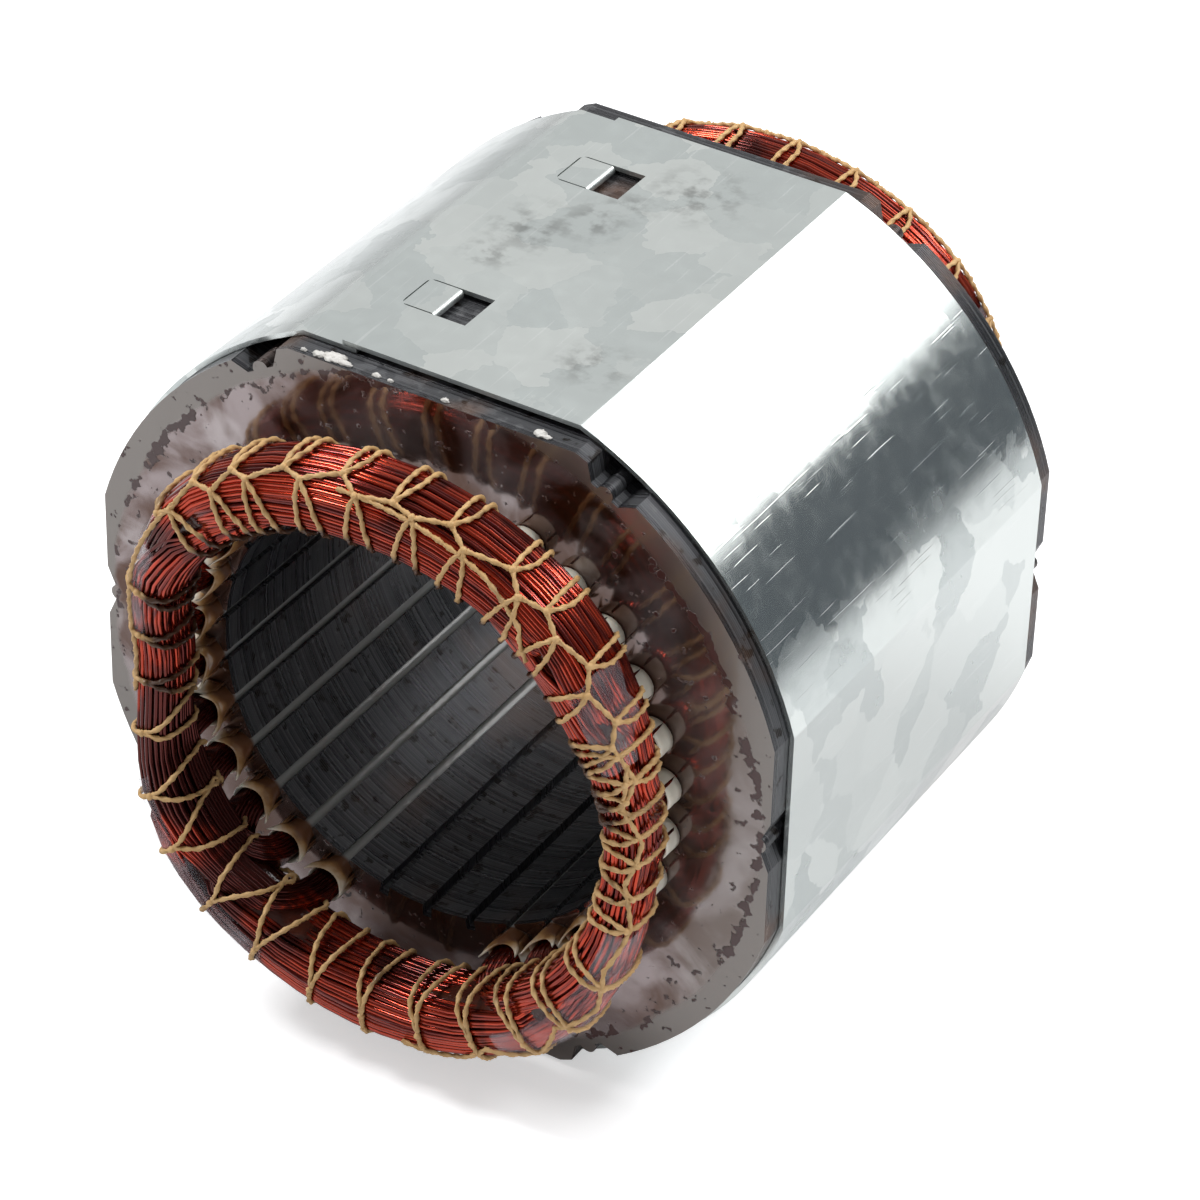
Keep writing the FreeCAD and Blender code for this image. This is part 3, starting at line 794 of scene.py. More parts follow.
@dataclass
class Stack:
    """The lamination stack: its CAD solid with a finish, and the dirt on its rim."""

    half_length: float = 52.75
    top_flat: float = 69.5
    # place along the upper front edge, depth and width of each white crumb
    crumbs: tuple[tuple[float, float, float], ...] = (
        (-21.5, 2.6, 2.2), (-19.0, 1.2, 1.6), (-24.5, 1.4, 1.2), (-12.0, 0.9, 0.9), (2.5, 0.8, 0.8),
        (22.0, 1.8, 1.3), (23.8, 0.9, 0.8), (-9.0, 0.6, 0.6), (-27.5, 0.7, 0.6))
    crumb_height: float = 0.45
    crumb_edge: float = 0.8

    def dress(self, nodes: dict[str, Piece]) -> None:
        """Give the CAD node its finish."""
        coat(nodes["lamination_stack"], Laminations().build())

    def crumb(self, seed: float, x: float, depth: float, width: float) -> Piece:
        """Model one lumpy crumb.

        Args:
            seed: Picks its lumps.
            x: Place along the edge.
            depth: Size along the bore.
            width: Size along the edge.

        Returns:
            The crumb, in its place.
        """
        select_none()
        bpy.ops.mesh.primitive_ico_sphere_add(subdivisions=3, radius=1.0)
        crumb = bpy.context.object
        size = Vector((width, depth * 0.6, self.crumb_height))
        centre = Vector((x, self.crumb_edge + depth * 0.45 - self.half_length, self.top_flat + 0.1))
        for vertex in crumb.data.vertices:
            swell = 1 + 0.45 * noise.noise(vertex.co * 2.3 + Vector((seed, 0, 0)))
            vertex.co = (vertex.co * size * swell + centre) * MM
        return crumb

    def add_crumbs(self) -> None:
        """White crumbs along the upper front edge, where the band ends."""
        crumbs = [self.crumb(index * 3.1, *sizes) for index, sizes in enumerate(self.crumbs)]
        piece = join(crumbs, "plaster_crumbs")
        bpy.ops.object.shade_smooth()
        finish_piece(piece, Plaster().build())


@dataclass
class Band:
    """The wrap band: its CAD solid with a finish."""

    def dress(self, nodes: dict[str, Piece]) -> None:
        """Give the CAD node its finish."""
        coat(nodes["wrap_band"], Galvanised().build())


# ------------------------------------------------------------------ end turns

# The run of one coil through the ring of end turns: rows of direction from the horizontal, near and far
# share of the ring's width, base and top share of its height.
Bundle = tuple[tuple[float, float, float, float, float], ...]


@dataclass
class Ring:
    """The outline of the end turns' cross-section: slim at the sides of the bore, full at the poles.

    Each section is inner radius, outer radius, low height and high height.
    """

    side: tuple[float, ...] = (47.0, 55.5, 5.0, 17.0)
    pole: tuple[float, ...] = (48.5, 63.0, 7.0, 22.0)
    # direction from the horizontal at which each of the four reaches its value at the poles
    reach: tuple[float, ...] = (25.0, 55.0, 15.0, 35.0)
    roundness: float = 0.78
    boxiness: float = 2.9

    def limits(self, direction: float) -> list[float]:
        """Inner radius, outer radius, low height and high height at a direction."""
        blends = zip(self.side, self.pole, self.reach)
        return [slim + (full - slim) * smooth(from_side(direction) / reach) for slim, full, reach in blends]

    def part(self, direction: float, shares: Sequence[float]) -> tuple[float, float, float, float]:
        """Find the limits of a bundle that takes up a share of the ring.

        Args:
            direction: Where round the bore.
            shares: Near and far share of the width, base and top share of the height.

        Returns:
            Inner radius, outer radius, low height and high height.
        """
        inner, outer, low, high = self.limits(direction)
        near, far, base, top = shares
        width, height = outer - inner, high - low
        return inner + width * near, inner + width * far, low + height * base, low + height * top

    def section(self, direction: float) -> tuple[float, float, float, float]:
        """Middle radius, middle height, half width and half height of the ring at a direction."""
        inner, outer, low, high = self.limits(direction)
        return (inner + outer) / 2, (low + high) / 2, (outer - inner) / 2, (high - low) / 2

    def rounded(self, direction: float, radius: float, height: float) -> tuple[float, float]:
        """Pull a point of the boxy section in towards its rounded outline.

        Args:
            direction: Where round the bore.
            radius: Distance from the bore axis.
            height: Height above the end face.

        Returns:
            The new radius and height.
        """
        middle, level, half_width, half_height = self.section(direction)
        x = max(-1.0, min(1.0, (radius - middle) / half_width))
        y = max(-1.0, min(1.0, (height - level) / half_height))
        pull = self.roundness / 2
        return (radius - half_width * x * (1 - math.sqrt(1 - pull * y * y)),
                height - half_height * y * (1 - math.sqrt(1 - pull * x * x)))

    def surface(self, direction: float, turn: float, lift: float, end: End) -> Vector:
        """Find a point on the ring's skin.

        Args:
            direction: Where round the bore.
            turn: Where round the section: 0 outwards, 90 away from the stack, 180 towards the bore.
            lift: Distance above the skin.
            end: Which end of the stator.

        Returns:
            The point in metres.
        """
        middle, level, half_width, half_height = self.section(direction)
        angle = math.radians(turn)
        x = power(math.cos(angle), 2 / self.boxiness)
        y = power(math.sin(angle), 2 / self.boxiness)
        return polar(direction, middle + (half_width + lift) * x, level + (half_height + lift) * y, end)


@dataclass
class Coil:
    """One coil of the winding: its strands from slot to slot at both ends of the stack."""

    node: str
    middle: float
    half_span: float
    bundle: Bundle
    ring: Ring
    wire: float = 0.96
    across: int = 7
    deep: int = 7
    leg_radius: float = 51.15
    leg_half_depth: float = 2.3
    leg_half_width: float = 2.35
    leg_height: float = 3.6
    # height lost by a strand for each share of 1 below its cuff
    leg_drop: float = 12.0
    turn_span: float = 9.0
    step_span: float = 6.0
    riser_steps: int = 6
    sway: float = 0.16

    def strand(self, u: float, v: float, seed: float, end: End) -> list[Vector]:
        """Find the path of one strand at one end, from one slot to the other.

        Args:
            u: Place across the bundle in the radial direction, -1 to 1.
            v: Place across it in the other direction, -1 on the inside of the bend to 1 outside.
            seed: Picks the strand's own wander.
            end: Which end of the stator.

        Returns:
            Points in metres.
        """
        rises = [self.riser(u, v, step / self.riser_steps) for step in range(-2, self.riser_steps)]
        first = [polar(self.middle + offset, radius, height, end) for offset, radius, height in rises]
        last = [polar(self.middle - offset, radius, height, end) for offset, radius, height in rises[::-1]]
        sweep = self.half_span - self.turn_span
        steps = max(2, round(2 * sweep / self.step_span))
        places = [self.middle + (sweep - 2 * sweep * step / steps) for step in range(steps + 1)]
        return first + [polar(place, *self.lane(u, v, seed, place), end) for place in places] + last

    def lane(self, u: float, v: float, seed: float, place: float) -> tuple[float, float]:
        """Find where a strand passes through the ring.

        Args:
            u: Place across the bundle, radially.
            v: Place across it along the bore.
            seed: Picks the strand's own wander.
            place: Direction round the bore.

        Returns:
            Radius and height.
        """
        inner, outer, low, high = self.ring.part(place, between(self.bundle, from_side(place)))
        inset = self.wire / 2
        limit = 1.02
        sway_u = u + self.sway * wander(seed, place * 0.045)
        sway_v = v + self.sway * wander(seed + 40, place * 0.045)
        radius = (inner + outer) / 2 + ((outer - inner) / 2 - inset) * max(-limit, min(limit, sway_u))
        height = (low + high) / 2 + ((high - low) / 2 - inset) * max(-limit, min(limit, sway_v))
        return self.ring.rounded(place, radius, height)

    def riser(self, u: float, v: float, share: float) -> tuple[float, float, float]:
        """Find a strand's point between its slot and the ring.

        Args:
            u: Place across the bundle, radially.
            v: Place across it, round the bore.
            share: Below 0 in the slot, 0 where it leaves the cuff, 1 in the ring.

        Returns:
            The angle from the coil's middle, the radius and the height.
        """
        leg = self.leg_radius + self.leg_half_depth * u
        start = self.half_span + math.degrees(self.leg_half_width * v / self.leg_radius)
        if share < 0:
            return start, leg, self.leg_height + share * self.leg_drop
        goal = self.half_span - self.turn_span
        goal_radius, goal_height = self.lane(u, v, 0.0, self.middle + goal)
        rise = goal_height - self.leg_height
        rest = 1 - share
        bend = rest ** 3, 3 * share * rest ** 2, 3 * share ** 2 * rest, share ** 3
        offset = (bend[0] + bend[1]) * start + bend[2] * (goal + (start - goal) * 0.45) + bend[3] * goal
        height = bend[0] * self.leg_height + bend[1] * (self.leg_height + rise * 0.62)
        radius = leg + (goal_radius - leg) * smooth(share * 1.05)
        return offset, radius, height + (bend[2] + bend[3]) * goal_height

    def build(self, paint: Material) -> None:
        """Lay all strands as curves, turn them into a mesh and let it stand for the CAD coil.

        Args:
            paint: The wire's material.
        """
        curve = new_curve(f"{self.node}_wires")
        curve.bevel_depth = self.wire / 2 * MM
        curve.bevel_resolution = 1
        for end in End:
            for row in range(self.across):
                for column in range(self.deep):
                    # every other column is set half a wire over, so that the strands nest
                    u = (row + 0.5 * (column % 2) - 0.25) / (self.across - 1) * 2 - 1
                    v = column / (self.deep - 1) * 2 - 1
                    seed = row * 1.37 + column * 11.9 + self.middle + self.half_span + end.value * 3
                    lay_run(curve, self.strand(max(-1, min(1, u)), v, seed, end))
        finish_piece(swept(curve), paint, [self.node])


@dataclass
class Winding:
    """All twelve coils and the varnish behind their strands."""

    ring: Ring = field(default_factory=Ring)
    pitch: float = 12.0
    # half the span of a coil is its number and this many slot pitches
    main_slots: float = 3.0
    auxiliary_slots: float = 3.5
    main: tuple[Bundle, ...] = (
        ((51, 0.3, 0.7, 0, 0.5), (62, 0.15, 0.65, 0, 0.5), (74, 0.05, 0.55, 0, 0.5), (90, 0, 0.52, 0, 0.5)),
        ((39, 0.35, 0.75, 0.1, 0.55), (51, 0.3, 0.7, 0.5, 1), (62, 0.15, 0.65, 0.5, 1),
         (90, 0, 0.52, 0.5, 1)),
        ((27, 0.4, 0.9, 0.15, 0.6), (35, 0.45, 1, 0.45, 1), (51, 0.6, 1, 0.5, 1), (90, 0.5, 1, 0.5, 1)),
        ((15, 0.4, 1, 0.05, 0.6), (27, 0.5, 1, 0, 0.5), (51, 0.6, 1, 0, 0.5), (90, 0.5, 1, 0, 0.5)),
    )
    auxiliary: tuple[Bundle, ...] = (
        ((0, 0, 1, 0, 0.52), (12, 0, 0.67, 0, 0.54), (30, 0, 0.43, 0.05, 0.55), (45, 0, 0.33, 0.1, 0.55)),
        ((0, 0, 1, 0.5, 1), (12, 0, 0.93, 0.47, 1), (26, 0, 0.9, 0.5, 1), (36, 0, 0.67, 0.53, 1),
         (46, 0, 0.36, 0.52, 1), (57, 0, 0.34, 0.42, 0.9)),
    )
    fill_depth: float = 1.5

    def build(self) -> None:
        """Build every coil and both rings of varnish."""
        paint = Enamel().build()
        for kind, bundles, slots, sides in (
                ("main", self.main, self.main_slots, (("top", 90.0), ("bottom", 270.0))),
                ("auxiliary", self.auxiliary, self.auxiliary_slots, (("right", 0.0), ("left", 180.0)))):
            for number, bundle in enumerate(bundles, start=1):
                for side, middle in sides:
                    half_span = self.pitch * (slots + number)
                    Coil(f"{kind}_coil_{side}_{number}", middle, half_span, bundle, self.ring).build(paint)
        fill = Resin().build()
        for end in End:
            self.fill_ring(end, fill)

    def fill_ring(self, end: End, paint: Material) -> None:
        """Close the ring with dark varnish just under the outer strands.

        Args:
            end: Which end of the stator.
            paint: The varnish.
        """
        select_none()
        bpy.ops.mesh.primitive_torus_add(major_segments=90, minor_segments=20, major_radius=1.0,
                                         minor_radius=0.25)
        piece = bpy.context.object
        for vertex in piece.data.vertices:
            spot = vertex.co.copy()
            direction = math.degrees(math.atan2(spot.y, spot.x))
            turn = math.degrees(math.atan2(spot.z, math.hypot(spot.x, spot.y) - 1.0))
            vertex.co = self.ring.surface(direction, turn, -self.fill_depth, end)
        rename(piece, f"varnish_fill_{end.name.lower()}")
        face_outwards(piece)
        bpy.ops.object.shade_smooth()
        finish_piece(piece, paint)


# ------------------------------------------------------------------ lacing

Stop = tuple[float, float]
Span = tuple[float, float]


@dataclass(frozen=True)
class Station:
    """One locked loop of the chain: two cords round the bundle from an outer to an inner knot.

    Each knot is (direction round the bore, turn round the section). Each cord leaves over the outer
    side at its out direction and comes back from the bore side at its back direction.
    """

    outer: Stop
    inner: Stop
    out: tuple[float, float]
    back: tuple[float, float]

    def cords(self) -> list[list[Stop]]:
        """Lead the two cords from the outer knot round the back to the inner knot.

        Returns:
            The stops of each.
        """
        end = (self.inner[0], self.inner[1] - 360)
        return [[self.outer, (out, 0), (out, -60), ((out + back) / 2, -120), (back, -200), (back, -255), end]
                for out, back in zip(self.out, self.back)]


@dataclass
class Lacing:
    """The waxed cord tied round each ring of end turns.

    A stop is (direction round the bore, turn round the section) in degrees. The upper part of the front is
    a locked chain; pairs of plain wraps, about one for each slot, hold its left side and its bottom, crossing
    wraps its right side, and running cords join their knots. The rear is the chain all round.
    """

    ring: Ring
    cord: float = 0.60
    lift: float = 0.34
    half_twist: float = 2.6
    spacing: float = 0.8
    outer_knot: float = 32.0
    inner_knot: float = 54.0
    chain_loops: int = 12
    chain_span: Span = (137.0, 21.0)
    wrap_pairs: int = 16
    wrap_span: Span = (158.0, 344.0)
    wrap_lean: float = 3.0
    crossed_pairs: int = 6
    crossed_span: Span = (352.0, 386.0)
    crossed_lean: float = -5.0
    rear_loops: int = 30
    rear_span: Span = (362.0, 14.0)
    rear_looseness: float = 0.2
    # one long cord that lies over the chain at the upper right, from knot to knot
    long_cord: tuple[Stop, ...] = ((95, 55), (80, 60), (65, 65), (55, 85), (49, 105))

    def chain(self, span: Span, loops: int, loose: float) -> list[Station]:
        """Lay out locked loops at an even pitch, looser where a hand pulled less.

        Args:
            span: Direction of the first and of the last outer knot.
            loops: Number of loops.
            loose: How uneven the loops are; 1 is as uneven as at the front.

        Returns:
            The loops in order.
        """
        first, last = span
        stations = []
        for step in range(loops):
            direction = first + (last - first) * step / (loops - 1)
            high = 22 * smooth((direction - 105) / 30) * loose
            outer = (direction + 3 * loose * wander(1.0, step * 1.7),
                     self.outer_knot + high + 16 * loose * wander(2.0, step * 1.3))
            inner = (outer[0] - 4 + 2 * loose * wander(3.0, step * 1.9),
                     self.inner_knot + high / 2 + 10 * loose * wander(4.0, step * 1.1))
            out, back = (outer[0] + 0.5, outer[0] - 2), (inner[0] + 2, inner[0] - 3)
            stations.append(Station(outer, inner, out, back))
        return stations

    def pairs(self, span: Span, count: int, lean: float) -> list[list[Stop]]:
        """Lay out pairs of wraps from one outer knot to the bore side, where each goes under the bundle.

        Args:
            span: Direction of the first and of the last knot.
            count: Number of pairs.
            lean: Degrees that each wrap leans away from the knot; wraps below the left side lean more.

        Returns:
            The stops of each wrap.
        """
        first, last = span
        wraps = []
        for step in range(count):
            direction = first + (last - first) * step / (count - 1) + 3 * wander(6.0, step * 1.7)
            knot = 85 - 38 * smooth((direction - 285) / 50) + 10 * wander(7.0, step * 1.3)
            apart = lean + 4 * math.exp(-((direction - 228) / 26) ** 2)
            drift = 4 * wander(8.0, step * 1.9)
            for side in (-1, 1):
                foot = direction + side * apart + drift
                over = (direction + side * apart * 0.35, knot + 35)
                wraps.append([(direction, knot), over, (foot, 200 + 8 * wander(9.0, foot))])
        return wraps

    def running(self) -> list[list[Stop]]:
        """Lay out the cords that run from knot to knot: at the left, at the right, and the long one.

        Returns:
            The stops of each.
        """
        left = [(132 + 9 * step, 60 + 12 * wander(10.0, step * 1.7)) for step in range(7)]
        right = [(23 - 9.5 * step, 36 + 34 * (step % 2) + 8 * wander(11.0, step * 1.7)) for step in range(12)]
        return [left, right, list(self.long_cord)]

    def build(self) -> None:
        """Lace both ends."""
        paint = WaxedCord().build()
        wraps = self.pairs(self.wrap_span, self.wrap_pairs, self.wrap_lean)
        wraps += self.pairs(self.crossed_span, self.crossed_pairs, self.crossed_lean)
        front = self.chain(self.chain_span, self.chain_loops, 1.0)
        rear = self.chain(self.rear_span, self.rear_loops, self.rear_looseness)
        self.build_end(End.FRONT, front, self.running(), wraps, paint)
        self.build_end(End.REAR, rear, [], [], paint)

    def build_end(self, end: End, chain: list[Station], running: list[list[Stop]], wraps: list[list[Stop]],
                  paint: Material) -> None:
        """Lay one end's cords and let them stand for its CAD lacing.

        Args:
            end: Which end of the stator.
            chain: Its locked loops, in order.
            running: Cords that run along the ring.
            wraps: The open side of each plain wrap, in pairs that share a knot.
            paint: The cord's material.
        """
        cords = [cord for station in chain for cord in station.cords()]
        for station, following in zip(chain, [*chain[1:], None]):
            cords.append([station.outer, station.inner] + ([following.outer] if following else []))
        cords += running
        for wrap in wraps:
            start, finish = wrap[0], wrap[-1]
            under = [((start[0] + finish[0]) / 2, 262), (start[0], 300), (start[0], start[1] + 360)]
            cords.append([*wrap, *under])
        knots = [knot for station in chain for knot in (station.outer, station.inner)]
        knots += [wrap[0] for wrap in wraps[::2]]
        name = end.name.lower()
        paths = [self.path(stops, index, end) for index, stops in enumerate(cords)]
        rope = self.rope(paths, f"lacing_cord_{name}")
        piece = join([rope] + [self.knot(direction, turn, end) for direction, turn in knots], rope.name)
        finish_piece(piece, paint, [f"lacing_{name}"])

    def path(self, stops: list[Stop], index: int, end: End) -> list[Vector]:
        """Lead a cord along the skin through its stops, in steps short enough to show its twist.

        Args:
            stops: The stops.
            index: Picks the cord's own sway.
            end: Which end of the stator.

        Returns:
            Points in metres.
        """
        points: list[Vector] = []
        for (direction, turn), (next_direction, next_turn) in zip(stops, stops[1:]):
            start = self.ring.surface(direction, turn, self.lift, end)
            finish = self.ring.surface(next_direction, next_turn, self.lift, end)
            length = (finish - start).length / MM + abs(next_turn - turn) * 0.03
            count = max(2, round(length / self.spacing))
            for step in range(count):
                place = direction + (next_direction - direction) * (step / count)
                spot = turn + (next_turn - turn) * (step / count)
                sway = 0.10 * wander(index + 3.0, (place + spot) * 0.2)
                points.append(self.ring.surface(place, spot, self.lift + sway, end))
        points.append(self.ring.surface(*stops[-1], self.lift, end))
        return points

    def rope(self, paths: list[list[Vector]], name: str) -> Piece:
        """Sweep a two-ply section, turning as it goes, along every path.

        Args:
            paths: Points of each cord.
            name: Name of the object.

        Returns:
            The cords as one mesh object.
        """
        profile = bpy.data.curves.new("ply_section", "CURVE")
        profile.dimensions = "2D"
        ply = profile.splines.new("POLY")
        ply.use_cyclic_u = True
        sides = 8
        ply.points.add(sides - 1)
        for index, point in enumerate(ply.points):
            angle = 2 * math.pi * index / sides
            reach = self.cord * (0.78 + 0.22 * math.cos(2 * angle)) * MM
            point.co = (reach * math.cos(angle), reach * math.sin(angle), 0, 1)
        section = put_in_scene("ply_section", profile)
        curve = new_curve(name)
        curve.bevel_mode = "OBJECT"
        curve.bevel_object = section
        curve.use_fill_caps = True
        for path in paths:
            lay_run(curve, path, self.half_twist)
        piece = swept(curve)
        bpy.data.objects.remove(section)
        return piece

    def knot(self, direction: float, turn: float, end: End) -> Piece:
        """Tie a small tight knot: a lumpy bead where cords cross.

        Args:
            direction: Where round the bore.
            turn: Where round the section.
            end: Which end of the stator.

        Returns:
            The knot.
        """
        select_none()
        bpy.ops.mesh.primitive_ico_sphere_add(subdivisions=2, radius=self.cord * 1.15 * MM)
        bead = bpy.context.object
        centre = self.ring.surface(direction, turn, self.lift + 0.15, end)
        for vertex in bead.data.vertices:
            swell = 1 + 0.35 * noise.noise(vertex.co * 1500 + Vector((direction, turn, 0)))
            vertex.co = centre + vertex.co * swell
        bpy.ops.object.shade_smooth()
        return bead


# ------------------------------------------------------------------ slot insulation


@dataclass
class SlotFilm:
    """Shared sizes of the 24 wound slots and a way to copy a piece to each."""

    pitch: float = 12.0
    side_slots: int = 12

    def directions(self) -> list[float]:
        """Directions of the wound slots, anticlockwise from the first above the horizontal."""
        right = [self.pitch * (index - self.side_slots / 2 + 0.5) for index in range(self.side_slots)]
        return sorted(angle % 360 for angle in right + [180 + angle for angle in right])

    @staticmethod
    def copy_to(model: Piece, direction: float, name: str) -> Piece:
        """Copy a model that lies along +X to a slot, with the turn in its mesh.

        Args:
            model: The model.
            direction: The slot's direction.
            name: Name of the copy.

        Returns:
            The copy.
        """
        copy = put_in_scene(name, model.data.copy())
        copy.data.name = name
        copy.data.transform(Matrix.Rotation(-math.radians(direction), 4, "Y"))
        return copy


@dataclass
class Liners(SlotFilm):
    """The U-shaped slot liners, with a cuff folded back outside each end."""

    top: float = 47.7
    centre: float = 50.7
    half_top: float = 2.90
    half_end: float = 3.27
    cuff: float = 4.5
    fold_gap: float = 0.62
    thickness: float = 0.3
    ripple: float = 0.10
    columns: int = 18

    def outline(self, place: float) -> tuple[float, float, float, float]:
        """Find a point of the U and its outward direction.

        Args:
            place: 0 at the top of one leg, 1 at the top of the other.

        Returns:
            Radius, width, and the outward direction in the same two axes.
        """
        leg = math.hypot(self.centre - self.top, self.half_end - self.half_top)
        whole = 2 * leg + math.pi * self.half_end
        run = place * whole
        if run < leg or run > whole - leg:
            share = min(run, whole - run) / leg
            side = -1 if run < leg else 1
            width = self.half_top + (self.half_end - self.half_top) * share
            return self.top + (self.centre - self.top) * share, side * width, 0.0, side
        angle = -math.pi / 2 + (run - leg) / self.half_end
        away = math.cos(angle), math.sin(angle)
        return self.centre + self.half_end * away[0], self.half_end * away[1], *away

    def build(self) -> None:
        """Model one liner and copy it to every slot."""
        cuff, gap = self.cuff, self.fold_gap
        # height and distance outside the U, from the slot up to the fold and back down outside it
        fold = [(0.0, 0.0), (cuff - 1.2, 0.0), (cuff - 0.25, 0.04), (cuff, 0.30), (cuff - 0.2, 0.58),
                (cuff - 1.2, gap), (1.6, gap), (0.28, gap + 0.1)]
        profile = [(-height, out, End.FRONT) for height, out in reversed(fold)]
        profile += [(height, out, End.REAR) for height, out in fold]

        def shape(across: float, along: float) -> Vector:
            """Place a corner of the liner.

            Args:
                across: Share of the U, from leg to leg.
                along: Share of the profile, from end to end.

            Returns:
                The point in metres.
            """
            height, out, end = profile[round(along * (len(profile) - 1))]
            radius, width, away_r, away_w = self.outline(across)
            if abs(height) > 2:
                out += self.ripple * wander(5.0 + end.value, across * 9 + height)
            place = height + end.value * Stack.half_length
            return Vector((radius + away_r * out, place, width + away_w * out)) * MM

        model = shaped_grid(self.columns, len(profile) - 1, shape)
        thicken(model, self.thickness)
        face_outwards(model)
        paint = InsulatingFilm().build("liner_film", 0.9)
        for number, direction in enumerate(self.directions(), start=1):
            liner = self.copy_to(model, direction, f"liner_film_{number:02d}")
            finish_piece(liner, paint, [f"slot_liner_{number:02d}"])
        bpy.data.objects.remove(model)


@dataclass
class Closures(SlotFilm):
    """Arched strips under the slot mouths, which flare into two points beyond the stack."""

    crown: float = 46.5
    foot: float = 48.0
    half_width: float = 2.5
    flare: float = 4.35
    tongue: float = 6.5
    scallop: float = 0.42
    curl: float = 1.1
    thickness: float = 0.28
    crumple: float = 0.12
    columns: int = 12

    def build(self) -> None:
        """Model one strip, copy it to every slot and join the copies."""
        heights = [-3.0, -0.6, 0.6, 1.6, 2.6, 3.6, 4.6, 5.6, self.tongue]
        profile = [(height, End.FRONT) for height in reversed(heights)]
        profile += [(height, End.REAR) for height in heights]

        def shape(place: float, along: float) -> Vector:
            """Place a corner of the strip.

            Args:
                place: Share of the width.
                along: Share of the profile, from end to end.

            Returns:
                The point in metres.
            """
            across = place * 2 - 1
            out, end = profile[round(along * (len(profile) - 1))]
            opened = smooth(out / self.tongue)
            half = self.half_width + (self.flare - self.half_width) * opened
            arch = (self.foot - self.crown) * across * across
            radius = self.crown + arch * (1 - 0.55 * opened) + self.curl * opened * opened
            reach = out * (1 - self.scallop * (1 - across * across) * opened) if out > 0 else out
            return Vector((radius, end.value * (Stack.half_length + reach), half * across)) * MM

        model = shaped_grid(self.columns, len(profile) - 1, shape)
        thicken(model, self.thickness, 0.0)
        copies = []
        for index, direction in enumerate(self.directions()):
            copy = self.copy_to(model, direction, f"closure_{index}")
            copies.append(copy)
            for vertex in copy.data.vertices:
                out = abs(vertex.co.y) / MM - Stack.half_length
                if out > 0.5:
                    bent = Vector((wander(index + 1.0, out * 0.4), 0, wander(index + 30.0, out * 0.4)))
                    vertex.co += bent * (self.crumple * out * MM)
        bpy.data.objects.remove(model)
        piece = join(copies, "closure_strips")
        face_outwards(piece)
        finish_piece(piece, InsulatingFilm().build("closure_film", 1.0), ["slot_closures"])


@dataclass
class Separators:
    """Film between the main and the auxiliary end turns, folded over the outer turns under the lacing."""

    ring: Ring
    thickness: float = 0.12
    standing: float = 0.3
    # quarter, first and last direction of the part that is folded over the ring
    quarters: tuple[tuple[str, float, float], ...] = (
        ("upper_right", 22, 40), ("upper_left", 146, 172),
        ("lower_left", 204, 246), ("lower_right", 300, 343))

    def build(self) -> None:
        """Model each film as a folded strip and let it stand for its CAD node."""
        paint = ClearFilm().build()
        for end in End:
            for quarter, start, finish in self.quarters:
                name = f"separator_{end.name.lower()}_{quarter}"
                piece = self.strip(start, finish, end)
                rename(piece, f"{name}_film")
                finish_piece(piece, paint, [name])

    def strip(self, start: float, finish: float, end: End) -> Piece:
        """Model one film: it stands between the coils, comes out of the ring and lies over the outer turns.

        Args:
            start: Direction of its first edge.
            finish: Direction of its last edge.
            end: Which end of the stator.

        Returns:
            The film.
        """
        def shape(along: float, across: float) -> Vector:
            """Place a corner of the film.

            Args:
                along: Share of the run along the ring.
                across: Share of the width, from inside the ring outwards.

            Returns:
                The point in metres.
            """
            direction = start + 1.5 * wander(start, across * 3) + (finish - start) * along
            middle, level, _, half_height = self.ring.section(direction)
            if across < self.standing:
                return polar(direction, middle, level + (half_height + 0.2) * across / self.standing, end)
            lying = (across - self.standing) / (1 - self.standing)
            turn = 90 - lying * (92 + 16 * wander(start + 5, direction * 0.2))
            crumple = wander(start + 9, direction * 0.3 + across * 2)
            return self.ring.surface(direction, turn, 0.12 + 0.16 * crumple, end)

        film = shaped_grid(36, 16, shape)
        thicken(film, self.thickness)
        return film


# ------------------------------------------------------------------ studio


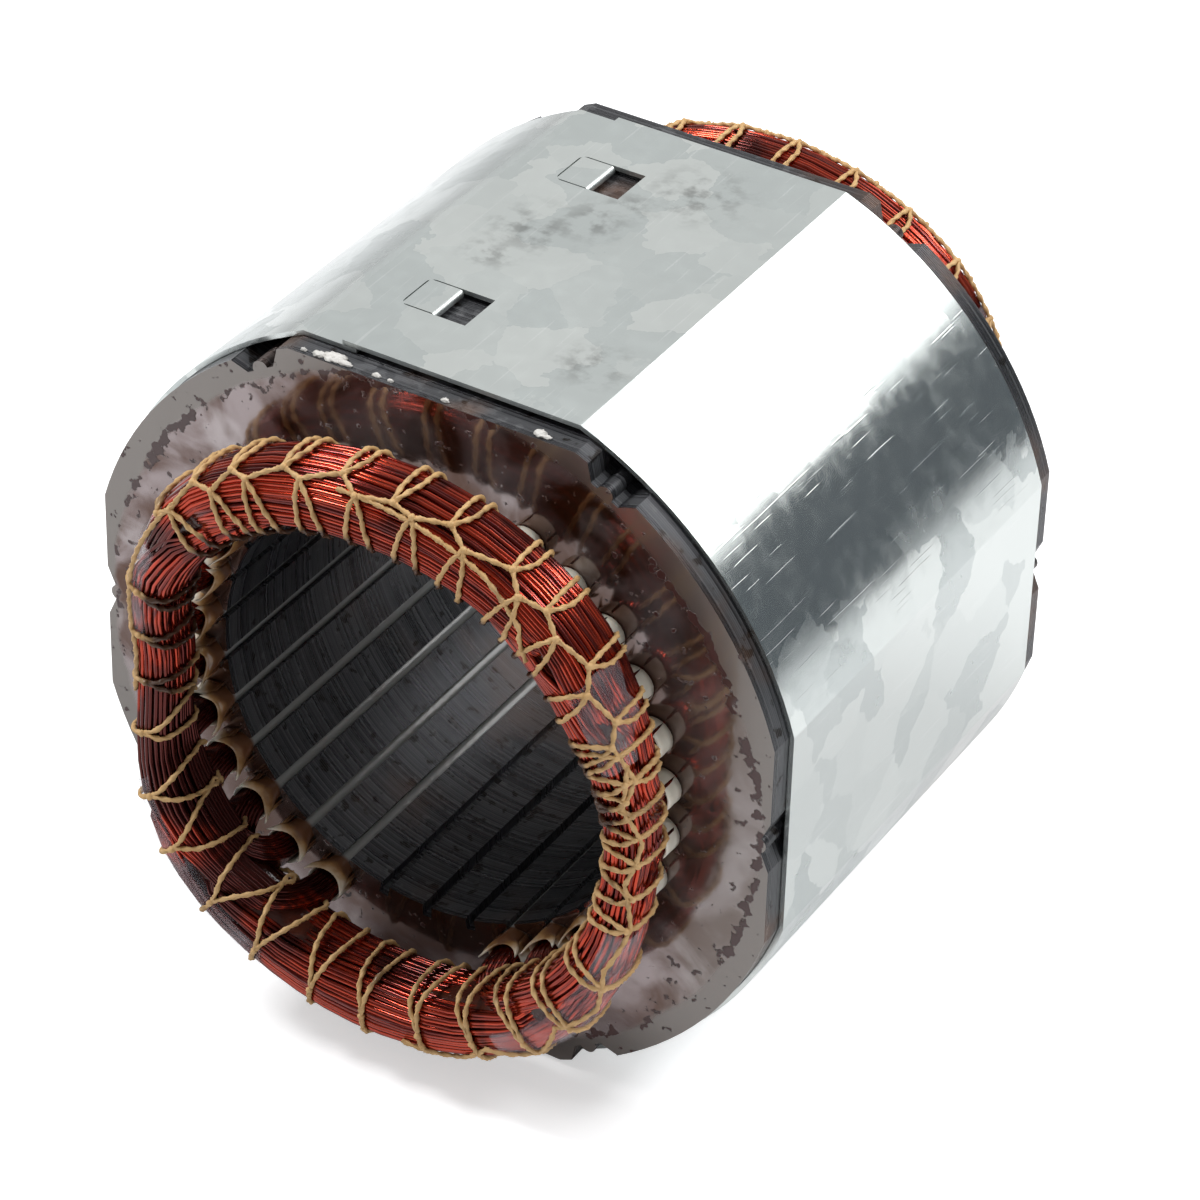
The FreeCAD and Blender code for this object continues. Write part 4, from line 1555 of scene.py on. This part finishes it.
@dataclass
class Studio:
    """White floor and world, softboxes, a dark card for the metal to reflect, and the camera.

    Places and sizes are metres here; the lens and the sensor are millimetres.
    """

    floor_level: float
    floor_size: float = 6.0
    floor_colour: Colour = (0.88, 0.885, 0.90)
    floor_glow: float = 0.49
    fill_level: float = 0.42
    dim_level: float = 0.17
    mirror_level: float = 0.72
    # name, place, side and power of each softbox
    softboxes: tuple[tuple[str, Colour, float, float], ...] = (
        ("rear_softbox", (0.48, 1.02, 0.84), 0.80, 6.5),
        ("left_softbox", (-0.90, -0.22, 1.15), 0.40, 14.0),
        ("right_softbox", (0.85, 0.25, 1.15), 0.30, 8.0),
    )
    card_colour: Colour = (0.05, 0.064, 0.078)
    card_centre: tuple[float, float, float] = (0.75, 0.75, 0.21)
    card_half_length: float = 1.1
    card_half_height: float = 0.28
    lens: float = 148.0
    sensor: float = 36.0
    camera_azimuth: float = 30.5
    camera_elevation: float = 35.6
    camera_roll: float = 1.7
    camera_distance: float = 0.947
    camera_aim: tuple[float, float, float] = (0.005, 0.0, -0.0035)

    def build(self) -> None:
        """Set up everything round the object."""
        self.add_floor()
        self.add_world()
        for softbox in self.softboxes:
            self.add_lamp(*softbox)
        self.add_card()
        self.add_camera()
        bpy.context.scene.view_settings.view_transform = "Standard"

    def add_floor(self) -> None:
        """A white table top, lifted to the backdrop's white where the camera sees it."""
        select_none()
        bpy.ops.mesh.primitive_plane_add(size=self.floor_size, location=(0, 0, 0))
        floor = bpy.context.object
        for vertex in floor.data.vertices:
            vertex.co.z = self.floor_level
        floor.name = "floor"
        paint = Paint("white_table")
        glow = paint.signal("ShaderNodeLightPath", {}, "Is Camera Ray") * self.floor_glow
        coat(floor, paint.finish(Base_Color=self.floor_colour, Roughness=0.6, Emission_Color=(1.0, 1.0, 1.0),
                                 Emission_Strength=glow))
        floor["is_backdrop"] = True

    def add_world(self) -> None:
        """White for the camera, grey with a dark front for reflections, and plain grey for light."""
        world = bpy.data.worlds.new("studio")
        world.use_nodes = True
        graph = Graph(world.node_tree)
        view = graph.signal("ShaderNodeTexCoord", {}, "Generated")
        along = graph.signal("ShaderNodeSeparateXYZ", {0: view}, "Y")
        backdrop = along.spread(-0.1, 0.6, self.dim_level, self.mirror_level)
        level = graph.signal("ShaderNodeLightPath", {}, "Is Glossy Ray").blend(self.fill_level, backdrop)
        level = graph.signal("ShaderNodeLightPath", {}, "Is Camera Ray").blend(level, 1.0)
        white = graph.signal("ShaderNodeBackground", {0: (1.0, 1.0, 1.0), 1: level})
        graph.node("ShaderNodeOutputWorld", {0: white})
        bpy.context.scene.world = world

    def add_lamp(self, name: str, place: tuple[float, float, float], size: float, power: float) -> None:
        """Add a square softbox aimed at the object.

        Args:
            name: Name of the lamp.
            place: Where it stands.
            size: Its side.
            power: Its power in watts.
        """
        data = bpy.data.lights.new(name, "AREA")
        data.size = size
        data.energy = power
        lamp = put_in_scene(name, data)
        lamp.location = place
        lamp.rotation_euler = Vector(place).to_track_quat("Z", "Y").to_euler()

    def add_card(self) -> None:
        """A dark card behind the right side, seen only in reflections."""
        select_none()
        bpy.ops.mesh.primitive_plane_add(size=1.0, location=(0, 0, 0))
        card = bpy.context.object
        card.name = "dark_flag"
        along = Vector((-1, 1, 0)).normalized() * self.card_half_length
        for vertex, (side, rise) in zip(card.data.vertices, ((-1, -1), (1, -1), (-1, 1), (1, 1))):
            vertex.co = Vector(self.card_centre) + along * side + Vector((0, 0, rise * self.card_half_height))
        coat(card, Paint("dark_card").finish(Base_Color=self.card_colour, Roughness=0.9))
        card.visible_camera = card.visible_diffuse = card.visible_shadow = False
        card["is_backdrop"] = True

    def add_camera(self) -> None:
        """The camera, ahead of the front right and above, turned a little about its own axis."""
        data = bpy.data.cameras.new("camera")
        data.lens = self.lens
        data.sensor_width = self.sensor
        data.clip_start = 0.01
        camera = put_in_scene("camera", data)
        azimuth = math.radians(self.camera_azimuth)
        elevation = math.radians(self.camera_elevation)
        roll = math.radians(self.camera_roll)
        flat = math.cos(elevation)
        back = Vector((flat * math.sin(azimuth), -flat * math.cos(azimuth), math.sin(elevation)))
        level = Vector((math.cos(azimuth), math.sin(azimuth), 0.0))
        right = level * math.cos(roll) + back.cross(level) * math.sin(roll)
        axes = Matrix((right, back.cross(right), back)).transposed().to_4x4()
        camera.matrix_world = Matrix.Translation(Vector(self.camera_aim) + back * self.camera_distance) @ axes
        bpy.context.scene.camera = camera


def main() -> None:
    """Build the stator's looks and its studio."""
    logging.basicConfig(level=logging.INFO, format="%(message)s")
    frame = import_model()
    cad_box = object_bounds()
    stack = Stack()
    stack.dress(frame["nodes"])
    stack.add_crumbs()
    Band().dress(frame["nodes"])
    winding = Winding()
    winding.build()
    Lacing(winding.ring).build()
    Liners().build()
    Closures().build()
    Separators(winding.ring).build()
    Studio(floor_level=cad_box[0][2]).build()
    bpy.context.view_layer.update()


if __name__ == "__main__":
    main()
